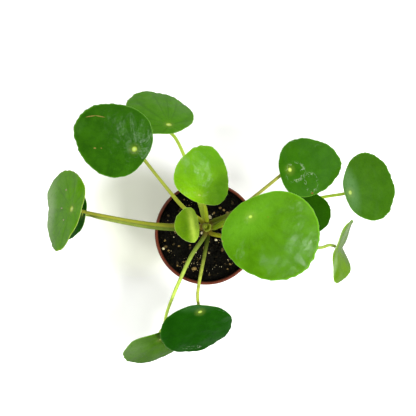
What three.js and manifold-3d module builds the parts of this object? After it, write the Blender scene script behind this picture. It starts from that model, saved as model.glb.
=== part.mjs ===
// A pilea in a small terracotta-coloured plastic pot.
// Thirteen round leaves, each held near its middle by a long stalk of its own, spread from one short stem.
// Millimetres, +Z up. The origin is the middle of the pot's underside.

import * as THREE from 'three';
import { mergeVertices } from 'three/addons/utils/BufferGeometryUtils.js';
import Module from 'manifold-3d';

const wasm = await Module();
wasm.setup();

// Clearance kept wherever one piece seats on another
const SEAT_GAP = 0.3;

// Pot: a tapered wall, a stepped collar with a flat lip, and a foot ring round a centre pad
const RIM_RADIUS = 45;
const POT_HEIGHT = 80;
const BASE_RADIUS = 32;
const WALL = 1.2;
const LIP_WIDTH = 2.3;
const LIP_HEIGHT = 2;
const LIP_OVERHANG = 0.3;
const LIP_ROUNDING = 0.6;
const COLLAR_HEIGHT = 11;
const COLLAR_STEP = 1.7;
const COLLAR_TAPER = 0.5;
const FLOOR_THICKNESS = 1.6;
const FOOT_LIFT = 2;
const FOOT_RING_WIDTH = 5;
const FOOT_SLOPE = 1;
const CENTRE_PAD_RADIUS = 14;
const DRAIN_HOLES = 8;
const DRAIN_RADIUS = 2.5;
const DRAIN_SIDES = 12;
const FOOT_NOTCHES = 4;
const FOOT_NOTCH_WIDTH = 7;
const POT_SIDES = 48;

// Soil: its level, its unevenness, and the grit that lies in it
const SOIL_LEVEL = 72.6;
const SOIL_UNEVENNESS = 0.7;
const SOIL_SIDES = 36;
const SOIL_RINGS = 7;
const GRIT_COUNT = 34;
const GRIT_SIZE = [1.2, 2.6];
const GRIT_FLATNESS = [1, 0.75, 0.6];
const GRIT_CLEAR_OF_EDGE = 4;
const GRIT_CLEAR_OF_STEM = 2;
const GRIT_SEED = 11;

// Stem: a short woody axis that leans a little, with a ridge at each old leaf scar
const STEM_FOOT = new THREE.Vector3(1, 3.5, 52);
const STEM_TOP = new THREE.Vector3(0, 7, 114);
const STEM_FOOT_RADIUS = 4.8;
const STEM_TOP_RADIUS = 3.2;
const SCAR_SPACING = 7;
const SCAR_RELIEF = 0.3;
const STEM_END_ROUNDING = 0.8;
const STEM_SIDES = 16;

// Growing tip: a bud on a small base, half wrapped by a sheath
const TIP_BASE_RADIUS = 2.9;
const TIP_BASE_HEIGHT = 1.4;
const TIP_BASE_EDGE = 1;
const BUD_RADIUS = 1.5;
const BUD_HEIGHT = 6.5;
const BUD_SHOULDER = 3.2;
const BUD_POINT_RADIUS = 0.9;
const BUD_POINT_HEIGHT = 5.2;
const SHEATH_HEIGHT = 6.5;
const SHEATH_FLARE = 1.5;
const SHEATH_MIDDLE = -35;
const SHEATH_SPAN = 190;
const SHEATH_FOOT_SINK = 0.4;
const SHEATH_TAPER = 0.35;
const SHEATH_SLOPE = 1.6;
const SHEATH_COLUMNS = 10;
const SHEATH_ROWS = 4;
const TIP_SIDES = 12;

// Stalks and blades
const STALK_ROOT_RADIUS = 1.9;
const STALK_END_RADIUS = 1.35;
const STALK_ROUNDING = 0.4;
const STALK_TAPER_SHARE = 0.625;
const STALK_SIDES = 8;
const STALK_STEP = 9;
const STALK_EXTRA_STEPS = 4;
const STALK_START = 2.5;
const STALK_START_RISE = 0.8;
const STALK_KNEE = 4;
const STALK_KNEE_EASE = 0.15;
const BLADE_THICKNESS = 0.8;
const BLADE_SIDES = 30;
const BLADE_RINGS = 4;
const EDGE_WAVES = 7;
const EDGE_WAVE_HEIGHT = 0.5;
const HUB_DIMPLE = 0.8;
const HUB_REACH = 0.2;
const FOLD_SOFTNESS = 0.17;
const FLARE_EASE = 1.6;
const BEND_SOFTNESS = 1.2;

const FINISHES = {
  pot: { color: '#a2563c', roughness: 0.45 },
  soil: { color: '#1a1813', roughness: 0.95 },
  stem: { color: '#6d6a2c', roughness: 0.7 },
  growingTip: { color: '#96b52a', roughness: 0.45 },
  stalk: { color: '#a9b658', roughness: 0.5 },
  darkLeaf: { color: '#2c6e10', roughness: 0.35 },
  midLeaf: { color: '#4b8428', roughness: 0.35 },
  brightLeaf: { color: '#66a81a', roughness: 0.35 },
};

// The leaves, from the upper left round to the right.
// hub: where the stalk meets the blade. length, width: size of the flat blade.
// inset: how far the hub lies from the blade's middle, as a share of half its length.
// tilt: slope of the blade. facing: compass way it slopes down (0 is +X, 90 is +Y).
// turn: angle from that way to the blade's long axis. sag: droop of the tip and of the sides.
// corners: a three-cornered bulge of the outline, as a share of its size, and its angle.
// fold: how far both sides rise as a soft V. flare: how far the left and right sides twist to face outwards.
// bend: a soft crease across the blade, how far beyond the hub it lies and how steeply the blade falls after it.
// finish: its colour group. root: height and compass angle of the stalk's root on the stem.
// via: points that the stalk passes through between root and hub.
const LEAVES = [
  {
    hub: [-55.5, 68, 136], length: 70, width: 58, inset: 0.62, tilt: 13, facing: 153, turn: 0,
    sag: [5, 4], corners: [0.04, -5], finish: 'darkLeaf',
    root: [103, 128], via: [[-18, 22.5, 113], [-38, 46.5, 122], [-48, 59.5, 129]],
  },
  {
    hub: [-30.5, 90.5, 112], length: 65, width: 57, inset: 0.66, tilt: 45, facing: 77, turn: 34,
    sag: [5, 4], corners: [0.03, 20], finish: 'midLeaf',
    root: [94, 106], via: [[-6, 28.5, 101], [-18.3, 66, 107], [-25.8, 80.8, 109]],
  },
  {
    hub: [-4.5, 31.5, 172], length: 53, width: 42, inset: 0.72, tilt: 30, facing: 50, turn: 23,
    sag: [7, 5], corners: [0.06, 0], finish: 'brightLeaf',
    root: [111, 84], via: [[0.8, 12.5, 119], [-1.4, 25, 150]],
  },
  {
    hub: [-7.6, 9.8, 140], length: 15, width: 27, inset: 0.66, tilt: -20, facing: 185, turn: 3,
    sag: [1, 1], corners: [0.06, 0], bend: [3.5, 1.5], finish: 'brightLeaf',
    root: [111, 178], via: [[-6.6, 7.6, 121]],
  },
  {
    hub: [-108.5, 21.5, 118], length: 58, width: 68, inset: 0.58, tilt: 44, facing: 164, turn: 9,
    sag: [6, 4], corners: [0.05, -45], flare: [-0.05, 0.2], finish: 'midLeaf',
    root: [106, 176], via: [[-42, 9, 113], [-86, 16.5, 116]],
  },
  {
    hub: [-106.6, 16.7, 88], length: 58, width: 54, inset: 0.86, tilt: 44, facing: 178, turn: -9,
    sag: [5, 3], corners: [0.06, -55], finish: 'darkLeaf',
    root: [99, 192], via: [[-43, 5.8, 102], [-90, 14, 96]],
  },
  {
    hub: [-5, -64.5, 102], length: 63, width: 64, inset: 0.76, tilt: 38, facing: -69, turn: -24,
    sag: [5, 4], corners: [0.03, 85], finish: 'darkLeaf',
    root: [85, -82], via: [[-1, -15.3, 92], [-7.2, -50.8, 100]],
  },
  {
    hub: [-40.5, -95.5, 68], length: 58, width: 58, inset: 0.6, tilt: 52, facing: -64, turn: -40,
    sag: [5, 3], corners: [0.02, 0], finish: 'midLeaf',
    root: [101, -100],
    via: [[-12, -17, 101], [-22, -38, 97], [-28, -52, 91], [-34, -68, 83], [-38, -83.5, 72]],
  },
  {
    hub: [30, 16.5, 198], length: 75, width: 66, inset: 0.67, tilt: 24, facing: -74, turn: 28,
    sag: [6, 5], corners: [0.03, -18], finish: 'brightLeaf',
    root: [109, -8], via: [[14.4, 11, 125], [27, 15.5, 172]],
  },
  {
    hub: [67.5, 53, 120], length: 60, width: 48, inset: 0.64, tilt: 18, facing: 5, turn: 5,
    sag: [5, 4], corners: [0.05, 0], finish: 'darkLeaf',
    root: [104, 42], via: [[21.5, 18.2, 109], [60, 48.3, 116]],
  },
  {
    hub: [119, 35, 108], length: 59, width: 59, inset: 0.83, tilt: 26, facing: 15, turn: 0,
    sag: [5, 4], corners: [0.03, 63], finish: 'midLeaf',
    root: [89, 2], via: [[50, 18.5, 82], [98, 31, 85]],
  },
  {
    hub: [74, 17.5, 106], length: 43, width: 37, inset: 0.62, tilt: 16, facing: 0, turn: 0,
    sag: [4, 3], corners: [0.02, 0], finish: 'darkLeaf',
    root: [99, 12], via: [[16, 12, 101], [50, 16, 101]],
  },
  {
    hub: [110.5, -10.5, 98], length: 50, width: 57, inset: 0.83, tilt: 68, facing: -20, turn: 2,
    sag: [2, -1], corners: [0.08, 34], fold: 1, flare: [0, 0.7], finish: 'midLeaf',
    root: [101, -52], via: [[13.3, -1.2, 103], [60, -11.5, 107], [97, -10.8, 100.5]],
  },
];

const radians = THREE.MathUtils.degToRad;
const mix = THREE.MathUtils.lerp;

// A repeatable stream of numbers from 0 to 1
function seededDraw(seed) {
  const range = 2 ** 32;
  const factor = 1664525;
  const step = 1013904223;
  let state = seed;
  return () => {
    state = (state * factor + step) % range;
    return state / range;
  };
}

// Joins equal vertices and drops the triangles that have shrunk to nothing
function joinVertices(geometry) {
  const bare = geometry.clone();
  bare.deleteAttribute('normal');
  bare.deleteAttribute('uv');
  const joined = mergeVertices(bare);
  const corners = joined.index.array;
  const kept = [];
  for (let i = 0; i < corners.length; i += 3) {
    const [a, b, c] = [corners[i], corners[i + 1], corners[i + 2]];
    if (a !== b && b !== c && c !== a) {
      kept.push(a, b, c);
    }
  }
  joined.setIndex(kept);
  return joined;
}

// A closed shape with its faces turned outwards
function closedShape(geometry) {
  const shape = joinVertices(geometry);
  if (signedVolume(shape) < 0) {
    shape.setIndex([...shape.index.array].reverse());
  }
  return shape;
}

function signedVolume(geometry) {
  const { position } = geometry.attributes;
  const corner = [new THREE.Vector3(), new THREE.Vector3(), new THREE.Vector3()];
  const indices = geometry.index.array;
  let sum = 0;
  for (let i = 0; i < indices.length; i += 3) {
    corner.forEach((point, k) => point.fromBufferAttribute(position, indices[i + k]));
    sum += corner[0].dot(corner[1].cross(corner[2])) / 6;
  }
  return sum;
}

// To and from a solid that can be joined and cut
function toSolid(geometry) {
  const shape = closedShape(geometry);
  return new wasm.Manifold(new wasm.Mesh({
    numProp: 3,
    vertProperties: new Float32Array(shape.attributes.position.array),
    triVerts: new Uint32Array(shape.index.array),
  }));
}

function toGeometry(solid) {
  const mesh = solid.getMesh();
  const geometry = new THREE.BufferGeometry();
  geometry.setAttribute('position', new THREE.BufferAttribute(mesh.vertProperties, 3));
  geometry.setIndex(new THREE.BufferAttribute(mesh.triVerts, 1));
  return geometry;
}

function part(name, geometry, finish) {
  const material = new THREE.MeshStandardMaterial({ ...finish, metalness: 0 });
  const mesh = new THREE.Mesh(closedShape(geometry), material);
  mesh.name = name;
  return mesh;
}

// Turns a profile of [radius, height] points round the Z axis
function turned(profile, sides) {
  const points = profile.map(([radius, height]) => new THREE.Vector2(radius, height));
  return new THREE.LatheGeometry(points, sides).rotateX(Math.PI / 2);
}

// Gives a thin open sheet a thickness, with the same triangles on both faces
function thicken(sheet, thickness) {
  sheet.computeVertexNormals();
  const { position, normal } = sheet.attributes;
  const count = position.count;
  const points = [];
  for (const side of [0.5, -0.5]) {
    for (let i = 0; i < count; i += 1) {
      const outwards = new THREE.Vector3().fromBufferAttribute(normal, i);
      points.push(new THREE.Vector3().fromBufferAttribute(position, i)
        .addScaledVector(outwards, side * thickness));
    }
  }
  const faces = [];
  const openEdges = new Map();
  const corners = sheet.index.array;
  for (let i = 0; i < corners.length; i += 3) {
    const triangle = [corners[i], corners[i + 1], corners[i + 2]];
    faces.push(...triangle);
    faces.push(...triangle.toReversed().map((corner) => corner + count));
    triangle.forEach((from, k) => {
      const to = triangle[(k + 1) % 3];
      if (!openEdges.delete(`${to} ${from}`)) {
        openEdges.set(`${from} ${to}`, [from, to]);
      }
    });
  }
  for (const [from, to] of openEdges.values()) {
    faces.push(to, from, from + count);
    faces.push(to, from + count, to + count);
  }
  const solid = new THREE.BufferGeometry().setFromPoints(points);
  solid.setIndex(faces);
  return solid;
}

// Pot
const WALL_TOP = POT_HEIGHT - COLLAR_HEIGHT;
const COLLAR_INNER_RADIUS = RIM_RADIUS - LIP_WIDTH;
const COLLAR_FOOT_RADIUS = RIM_RADIUS - LIP_OVERHANG - COLLAR_TAPER;
const WALL_TOP_RADIUS = COLLAR_FOOT_RADIUS - COLLAR_STEP;
const BASE_ROUNDING = 1;
const FLOOR_TOP = FOOT_LIFT + FLOOR_THICKNESS;

// Inner radius of the pot's wall, below the collar, at a height
function innerWallRadius(height) {
  return mix(BASE_RADIUS, WALL_TOP_RADIUS, height / WALL_TOP) - WALL;
}

function makePot() {
  const footInner = BASE_RADIUS - BASE_ROUNDING - FOOT_RING_WIDTH;
  const lipBottom = POT_HEIGHT - LIP_HEIGHT;
  const underside = [
    [0, 0],
    [CENTRE_PAD_RADIUS - FOOT_SLOPE, 0],
    [CENTRE_PAD_RADIUS, FOOT_LIFT],
    [footInner - FOOT_SLOPE, FOOT_LIFT],
    [footInner, 0],
  ];
  const outside = [
    [BASE_RADIUS - BASE_ROUNDING, 0],
    [BASE_RADIUS, BASE_ROUNDING],
    [WALL_TOP_RADIUS, WALL_TOP],
    [COLLAR_FOOT_RADIUS, WALL_TOP + LIP_ROUNDING],
    [RIM_RADIUS - LIP_OVERHANG, lipBottom],
    [RIM_RADIUS, lipBottom + LIP_OVERHANG],
    [RIM_RADIUS, POT_HEIGHT - LIP_ROUNDING],
    [RIM_RADIUS - LIP_ROUNDING, POT_HEIGHT],
  ];
  const inside = [
    [COLLAR_INNER_RADIUS + LIP_ROUNDING, POT_HEIGHT],
    [COLLAR_INNER_RADIUS, POT_HEIGHT - LIP_ROUNDING],
    [COLLAR_INNER_RADIUS, WALL_TOP + WALL],
    [innerWallRadius(WALL_TOP - WALL), WALL_TOP - WALL],
    [innerWallRadius(FLOOR_TOP + BASE_ROUNDING), FLOOR_TOP + BASE_ROUNDING],
    [innerWallRadius(FLOOR_TOP) - BASE_ROUNDING, FLOOR_TOP],
    [0, FLOOR_TOP],
  ];
  let pot = toSolid(turned([...underside, ...outside, ...inside], POT_SIDES));
  const drainCircle = (CENTRE_PAD_RADIUS + footInner) / 2;
  for (let i = 0; i < DRAIN_HOLES; i += 1) {
    const angle = (i + 0.5) * 2 * Math.PI / DRAIN_HOLES;
    const hole = new THREE.CylinderGeometry(DRAIN_RADIUS, DRAIN_RADIUS, 4 * FLOOR_THICKNESS, DRAIN_SIDES)
      .rotateX(Math.PI / 2)
      .translate(drainCircle * Math.cos(angle), drainCircle * Math.sin(angle), FOOT_LIFT);
    pot = pot.subtract(toSolid(hole));
  }
  for (let i = 0; i < FOOT_NOTCHES; i += 1) {
    const notch = new THREE.BoxGeometry(3 * FOOT_RING_WIDTH, FOOT_NOTCH_WIDTH, FOOT_LIFT)
      .translate(BASE_RADIUS, 0, 0)
      .rotateZ(i * 2 * Math.PI / FOOT_NOTCHES);
    pot = pot.subtract(toSolid(notch));
  }
  return part('pot', toGeometry(pot), FINISHES.pot);
}

// Stem axis, and its radius at a height
function stemCentre(height) {
  return STEM_FOOT.clone().lerp(STEM_TOP, (height - STEM_FOOT.z) / (STEM_TOP.z - STEM_FOOT.z));
}

function stemRadius(height) {
  return mix(STEM_FOOT_RADIUS, STEM_TOP_RADIUS, (height - STEM_FOOT.z) / (STEM_TOP.z - STEM_FOOT.z));
}

// Stands a shape made round the Z axis on the foot of the stem, leaning as the stem does
function leanAsStem(object) {
  const axis = STEM_TOP.clone().sub(STEM_FOOT).normalize();
  object.quaternion.setFromUnitVectors(new THREE.Vector3(0, 0, 1), axis);
  return object;
}

// Soil, with its uneven top, its sunken grit and the hole that the stem stands in
function soilHeight(x, y) {
  const long = Math.sin(0.17 * x + 1) * Math.cos(0.15 * y - 0.6);
  const short = Math.sin(0.46 * x - 0.3 * y) * Math.cos(0.38 * y + 0.21 * x + 2);
  return SOIL_LEVEL + SOIL_UNEVENNESS * (0.6 * long + 0.5 * short);
}

function soilBody() {
  const bottom = FLOOR_TOP + SEAT_GAP;
  const topRadius = COLLAR_INNER_RADIUS - SEAT_GAP;
  const profile = [
    [0, bottom],
    [innerWallRadius(bottom) - BASE_ROUNDING - SEAT_GAP, bottom],
    [innerWallRadius(bottom + BASE_ROUNDING) - SEAT_GAP, bottom + BASE_ROUNDING],
    [innerWallRadius(WALL_TOP - WALL) - SEAT_GAP, WALL_TOP - WALL],
    [topRadius, WALL_TOP + WALL + SEAT_GAP],
  ];
  for (let ring = SOIL_RINGS; ring >= 0; ring -= 1) {
    profile.push([topRadius * ring / SOIL_RINGS, SOIL_LEVEL]);
  }
  const body = turned(profile, SOIL_SIDES);
  const { position } = body.attributes;
  for (let i = 0; i < position.count; i += 1) {
    if (position.getZ(i) > SOIL_LEVEL - SEAT_GAP) {
      position.setZ(i, soilHeight(position.getX(i), position.getY(i)));
    }
  }
  return toSolid(body);
}

// Scatters the grains, half sunk, clear of the pot's wall and of the stem
function scatterGrit() {
  const draw = seededDraw(GRIT_SEED);
  const reach = COLLAR_INNER_RADIUS - GRIT_CLEAR_OF_EDGE;
  const stemHere = stemCentre(SOIL_LEVEL);
  const grains = [];
  while (grains.length < GRIT_COUNT) {
    const distance = reach * Math.sqrt(draw());
    const angle = 2 * Math.PI * draw();
    const x = distance * Math.cos(angle);
    const y = distance * Math.sin(angle);
    const size = mix(GRIT_SIZE[0], GRIT_SIZE[1], draw() ** 2);
    const grain = new THREE.IcosahedronGeometry(size, 0)
      .rotateX(Math.PI * draw())
      .scale(...GRIT_FLATNESS)
      .rotateZ(2 * Math.PI * draw())
      .translate(x, y, soilHeight(x, y));
    if (Math.hypot(x - stemHere.x, y - stemHere.y) > STEM_FOOT_RADIUS + size + GRIT_CLEAR_OF_STEM) {
      grains.push(toSolid(grain));
    }
  }
  return grains;
}

// The plain hole that the stem stands in, a little wider than the stem all the way up
function stemHole() {
  const height = POT_HEIGHT - STEM_FOOT.z;
  const clearance = SCAR_RELIEF + SEAT_GAP;
  const hole = new THREE.Mesh(
    new THREE.CylinderGeometry(
      stemRadius(POT_HEIGHT) + clearance,
      STEM_FOOT_RADIUS + clearance,
      height,
      STEM_SIDES,
    ).rotateX(Math.PI / 2).translate(0, 0, height / 2 - SEAT_GAP),
  );
  leanAsStem(hole).position.copy(STEM_FOOT);
  hole.updateMatrix();
  return toSolid(hole.geometry.applyMatrix4(hole.matrix));
}

function makeSoil() {
  const soil = scatterGrit().reduce((all, grain) => all.add(grain), soilBody());
  return part('soil', toGeometry(soil.subtract(stemHole())), FINISHES.soil);
}

function makeStem() {
  const length = STEM_FOOT.distanceTo(STEM_TOP);
  const profile = [[0, 0], [STEM_FOOT_RADIUS - STEM_END_ROUNDING, 0]];
  for (let along = STEM_END_ROUNDING; along < length - STEM_END_ROUNDING; along += SCAR_SPACING / 3) {
    const ridge = SCAR_RELIEF * Math.cos(2 * Math.PI * along / SCAR_SPACING);
    profile.push([mix(STEM_FOOT_RADIUS, STEM_TOP_RADIUS, along / length) + ridge, along]);
  }
  profile.push([STEM_TOP_RADIUS - STEM_END_ROUNDING, length], [0, length]);
  const stem = part('stem', turned(profile, STEM_SIDES), FINISHES.stem);
  leanAsStem(stem).position.copy(STEM_FOOT);
  return stem;
}

// Growing tip: a base that sits on the stem, a pointed bud, and a sheath that tapers round one side
function sheathSheet() {
  const sheet = joinVertices(new THREE.PlaneGeometry(1, 1, SHEATH_COLUMNS, SHEATH_ROWS));
  const { position } = sheet.attributes;
  for (let i = 0; i < position.count; i += 1) {
    const across = position.getX(i);
    const up = position.getY(i) + 0.5;
    const angle = radians(SHEATH_MIDDLE + SHEATH_SPAN * across * (1 - SHEATH_TAPER * up));
    const radius = TIP_BASE_RADIUS - SHEATH_FOOT_SINK + SHEATH_FLARE * up;
    const height = SHEATH_FOOT_SINK + SHEATH_HEIGHT * up * (1 - SHEATH_SLOPE * across * across);
    position.setXYZ(i, radius * Math.cos(angle), radius * Math.sin(angle), height);
  }
  return sheet;
}

function makeGrowingTip() {
  const base = turned([
    [0, 0],
    [TIP_BASE_RADIUS, 0],
    [TIP_BASE_RADIUS, TIP_BASE_EDGE],
    [BUD_RADIUS, TIP_BASE_HEIGHT],
    [BUD_RADIUS, BUD_SHOULDER],
    [BUD_POINT_RADIUS, BUD_POINT_HEIGHT],
    [0, BUD_HEIGHT],
  ], TIP_SIDES);
  const sheath = thicken(sheathSheet(), BLADE_THICKNESS);
  const tip = part('growing_tip', toGeometry(toSolid(base).add(toSolid(sheath))), FINISHES.growingTip);
  const axis = STEM_TOP.clone().sub(STEM_FOOT).normalize();
  leanAsStem(tip).position.copy(STEM_TOP).addScaledVector(axis, SEAT_GAP);
  return tip;
}

// Rises from nothing before 0 to a straight slope after it, with a soft corner between
function softRise(distance) {
  return (Math.hypot(distance, BEND_SOFTNESS) + distance) / 2;
}

// Blade: a disc about the hub, stretched to the leaf's outline and bent
function bladePoint(leaf, reach, angle, phase) {
  const halfLength = leaf.length / 2;
  const halfWidth = leaf.width / 2;
  const [bulge, bulgeAngle] = leaf.corners;
  const outline = 1 + bulge * Math.cos(3 * (angle - radians(bulgeAngle)));
  const x = reach * halfLength * (leaf.inset + outline * Math.cos(angle));
  const y = reach * halfWidth * outline * Math.sin(angle);
  const along = x / (halfLength * (1 + leaf.inset));
  const across = y / halfWidth;
  const [tipSag, sideSag] = leaf.sag;
  const wave = EDGE_WAVE_HEIGHT * reach ** 3 * Math.sin(EDGE_WAVES * angle + phase);
  const dimple = HUB_DIMPLE * Math.max(0, 1 - reach / HUB_REACH) ** 2;
  const [leftFlare, rightFlare] = leaf.flare ?? [0, 0];
  const flare = (y > 0 ? leftFlare : rightFlare) * along * Math.abs(y) * (FLARE_EASE - across * across);
  const fold = (leaf.fold ?? 0) * (Math.hypot(across, FOLD_SOFTNESS) - FOLD_SOFTNESS);
  const [crease, steepness] = leaf.bend ?? [0, 0];
  const bend = steepness * (softRise(x - crease) - softRise(-crease));
  const z = fold + flare + wave - dimple - bend - tipSag * along * along - sideSag * across * across;
  return new THREE.Vector3(x, y, z);
}

function makeBlade(leaf, name, index) {
  const sheet = joinVertices(new THREE.RingGeometry(0, 1, BLADE_SIDES, BLADE_RINGS));
  const { position } = sheet.attributes;
  for (let i = 0; i < position.count; i += 1) {
    const x = position.getX(i);
    const y = position.getY(i);
    const point = bladePoint(leaf, Math.hypot(x, y), Math.atan2(y, x), index);
    position.setXYZ(i, point.x, point.y, point.z);
  }
  const blade = part(name, thicken(sheet, BLADE_THICKNESS), FINISHES[leaf.finish]);
  blade.position.set(...leaf.hub);
  blade.quaternion.copy(bladeTurn(leaf));
  return blade;
}

// The blade's slope, the way it faces, and its own turn, as one rotation
function bladeTurn(leaf) {
  const up = new THREE.Vector3(0, 0, 1);
  const facing = new THREE.Quaternion().setFromAxisAngle(up, radians(leaf.facing));
  const tilt = new THREE.Quaternion().setFromAxisAngle(new THREE.Vector3(0, 1, 0), radians(leaf.tilt));
  const turn = new THREE.Quaternion().setFromAxisAngle(up, radians(leaf.turn));
  return facing.multiply(tilt).multiply(turn);
}

// Stalk: from just off the stem, through the points it passes, to just under the hub
function stalkPath(leaf) {
  const [height, compass] = leaf.root;
  const outwards = new THREE.Vector3(Math.cos(radians(compass)), Math.sin(radians(compass)), 0);
  const fromAxis = stemRadius(height) + SCAR_RELIEF + SEAT_GAP;
  const root = stemCentre(height).setZ(height).addScaledVector(outwards, fromAxis);
  const normal = new THREE.Vector3(0, 0, 1).applyQuaternion(bladeTurn(leaf));
  const hub = new THREE.Vector3(...leaf.hub);
  const end = hub.clone().addScaledVector(normal, -(BLADE_THICKNESS / 2 + HUB_DIMPLE + SEAT_GAP));
  const last = new THREE.Vector3(...leaf.via.at(-1));
  const knee = end.clone().addScaledVector(normal, -STALK_KNEE).lerp(last, STALK_KNEE_EASE);
  const points = [
    root,
    root.clone().addScaledVector(outwards, STALK_START).setZ(height + STALK_START_RISE),
    ...leaf.via.map((point) => new THREE.Vector3(...point)),
    knee,
    end,
  ];
  return new THREE.CatmullRomCurve3(points, false, 'centripetal');
}

function makeStalk(leaf, name) {
  const path = stalkPath(leaf);
  const length = path.getLength();
  const steps = Math.ceil(length / STALK_STEP) + STALK_EXTRA_STEPS;
  const profile = [
    [0, 0],
    [STALK_ROOT_RADIUS - STALK_ROUNDING, STALK_ROUNDING / 2],
    [STALK_ROOT_RADIUS, 2 * STALK_ROUNDING],
  ];
  for (let i = 1; i < steps; i += 1) {
    const taper = Math.min(1, i / steps / STALK_TAPER_SHARE);
    profile.push([mix(STALK_ROOT_RADIUS, STALK_END_RADIUS, taper), length * i / steps]);
  }
  profile.push([STALK_END_RADIUS - STALK_ROUNDING, length - STALK_ROUNDING / 2], [0, length]);
  const tube = turned(profile, STALK_SIDES);
  const { position } = tube.attributes;
  const chord = path.getPoint(1).sub(path.getPoint(0));
  const sideways = new THREE.Vector3(-chord.y, chord.x, 0).normalize();
  for (let i = 0; i < position.count; i += 1) {
    const share = THREE.MathUtils.clamp(position.getZ(i) / length, 0, 1);
    const forwards = path.getTangentAt(share);
    const upwards = forwards.clone().cross(sideways).normalize();
    const across = upwards.clone().cross(forwards);
    const point = path.getPointAt(share)
      .addScaledVector(across, position.getX(i))
      .addScaledVector(upwards, position.getY(i));
    position.setXYZ(i, point.x, point.y, point.z);
  }
  return part(name, tube, FINISHES.stalk);
}

const plant = new THREE.Group();
plant.add(makePot(), makeSoil(), makeStem(), makeGrowingTip());
LEAVES.forEach((leaf, index) => {
  const number = String(index + 1).padStart(2, '0');
  plant.add(makeStalk(leaf, `stalk_${number}`), makeBlade(leaf, `leaf_${number}`, index));
});

export default plant;
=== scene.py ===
# A pilea in a small terracotta-coloured plastic pot: its finished surfaces, with a floor, lights and camera.
import math
import random

import bmesh
import bpy
from bpy.props import FloatProperty, FloatVectorProperty, IntProperty, PointerProperty
from mathutils import Matrix, Vector, noise


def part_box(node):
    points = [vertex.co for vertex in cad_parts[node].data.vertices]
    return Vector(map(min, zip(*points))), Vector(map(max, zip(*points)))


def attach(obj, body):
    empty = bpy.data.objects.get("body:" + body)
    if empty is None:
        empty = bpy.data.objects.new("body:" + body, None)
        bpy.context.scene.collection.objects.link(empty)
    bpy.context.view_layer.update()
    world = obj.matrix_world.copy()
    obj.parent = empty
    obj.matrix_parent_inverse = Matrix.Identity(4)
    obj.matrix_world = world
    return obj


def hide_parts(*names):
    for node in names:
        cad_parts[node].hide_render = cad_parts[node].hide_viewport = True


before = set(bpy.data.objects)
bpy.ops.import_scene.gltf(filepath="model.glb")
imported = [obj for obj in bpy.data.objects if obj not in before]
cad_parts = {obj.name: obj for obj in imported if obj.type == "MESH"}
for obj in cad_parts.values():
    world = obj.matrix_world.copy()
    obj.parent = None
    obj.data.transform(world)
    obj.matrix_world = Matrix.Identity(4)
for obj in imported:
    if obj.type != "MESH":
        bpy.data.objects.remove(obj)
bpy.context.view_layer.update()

bl_info = {
    "name": "Potted Pilea",
    "version": (1, 0, 0),
    "blender": (4, 5, 0),
    "location": "3D View > Sidebar > Pilea",
    "description": "Builds a small pilea plant in its nursery pot, with a floor, lights and camera",
    "category": "Add Mesh",
}

# Shapes are drawn in millimetres and made metres when a piece is finished
MM = 0.001
UP = Vector((0, 0, 1))
QUARTER = math.pi / 2

# Clearance kept wherever one piece seats on another
SEAT_GAP = 0.3

# Pot
POT_HEIGHT = 80
BASE_RADIUS = 32
WALL = 1.2
LIP_WIDTH = 2.3
LIP_HEIGHT = 2
LIP_OVERHANG = 0.3
LIP_ROUNDING = 0.6
COLLAR_HEIGHT = 11
COLLAR_STEP = 1.7
COLLAR_TAPER = 0.5
FLOOR_THICKNESS = 1.6
FOOT_LIFT = 2
FOOT_RING_WIDTH = 5
FOOT_SLOPE = 1
CENTRE_PAD_RADIUS = 14
BASE_ROUNDING = 1
DRAIN_HOLES = 8
DRAIN_RADIUS = 2.5
FOOT_NOTCHES = 4
FOOT_NOTCH_WIDTH = 7
POT_STEPS = 160
POT_EASING = 0.35
POT_SHARP_ANGLE = math.radians(40)
DRAIN_SIDES = 28

# The earth stain on the collar's inside: how far in from the rim it starts and is full, the heights
# where it starts and is full, and how far above the wall's top it is gone and still full
STAIN_INSET = (1.4, 2.2)
STAIN_HEIGHT = (79, 73)
STAIN_STOP = (0.5, 1.5)

# Soil
SOIL_LEVEL = 72.6
SOIL_UNEVENNESS = 0.7
SOIL_STEPS = 120
SOIL_RINGS = 44
SOIL_LUMP_SCALE = 0.32
SOIL_LUMP_HEIGHT = 1.1
SOIL_LUMP_SINK = 0.3
STEM_HOLE_SIDES = 40
SMALLEST_CRUMB = 0.35
CRUMB_CLEAR_OF_EDGE = 1.6
CRUMB_SEED = 5
GRIT_COUNT = 34
GRIT_SIZE = (1.2, 2.6)
GRIT_FLATNESS = (1, 0.75, 0.6)
GRIT_CLEAR_OF_EDGE = 4
GRIT_CLEAR_OF_STEM = 2
GRIT_SEED = 11
FINE_GRIT_CLUSTERS = 34
FINE_GRIT_PER_CLUSTER = 9
FINE_GRIT_SIZE = (0.22, 0.7)
FINE_GRIT_SPREAD = 3.5
FINE_GRIT_LIFT = 0.9
FINE_GRIT_SEED = 8

# Stem
STEM_FOOT = Vector((1, 3.5, 52))
STEM_TOP = Vector((0, 7, 114))
STEM_AXIS = (STEM_TOP - STEM_FOOT).normalized()
STEM_FOOT_RADIUS = 4.8
STEM_TOP_RADIUS = 3.2
STEM_ROUNDING = 0.8
SCAR_SPACING = 7
SCAR_RELIEF = 0.3
SCAR_TURN = math.radians(137.5)
SCAR_HALF_HEIGHT = 1.9
SCAR_HALF_WIDTH = 2.6
SCAR_HOLLOW = 0.35
BARK_RELIEF = 0.22
STEM_RINGS = 120
STEM_STEPS = 48

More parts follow.
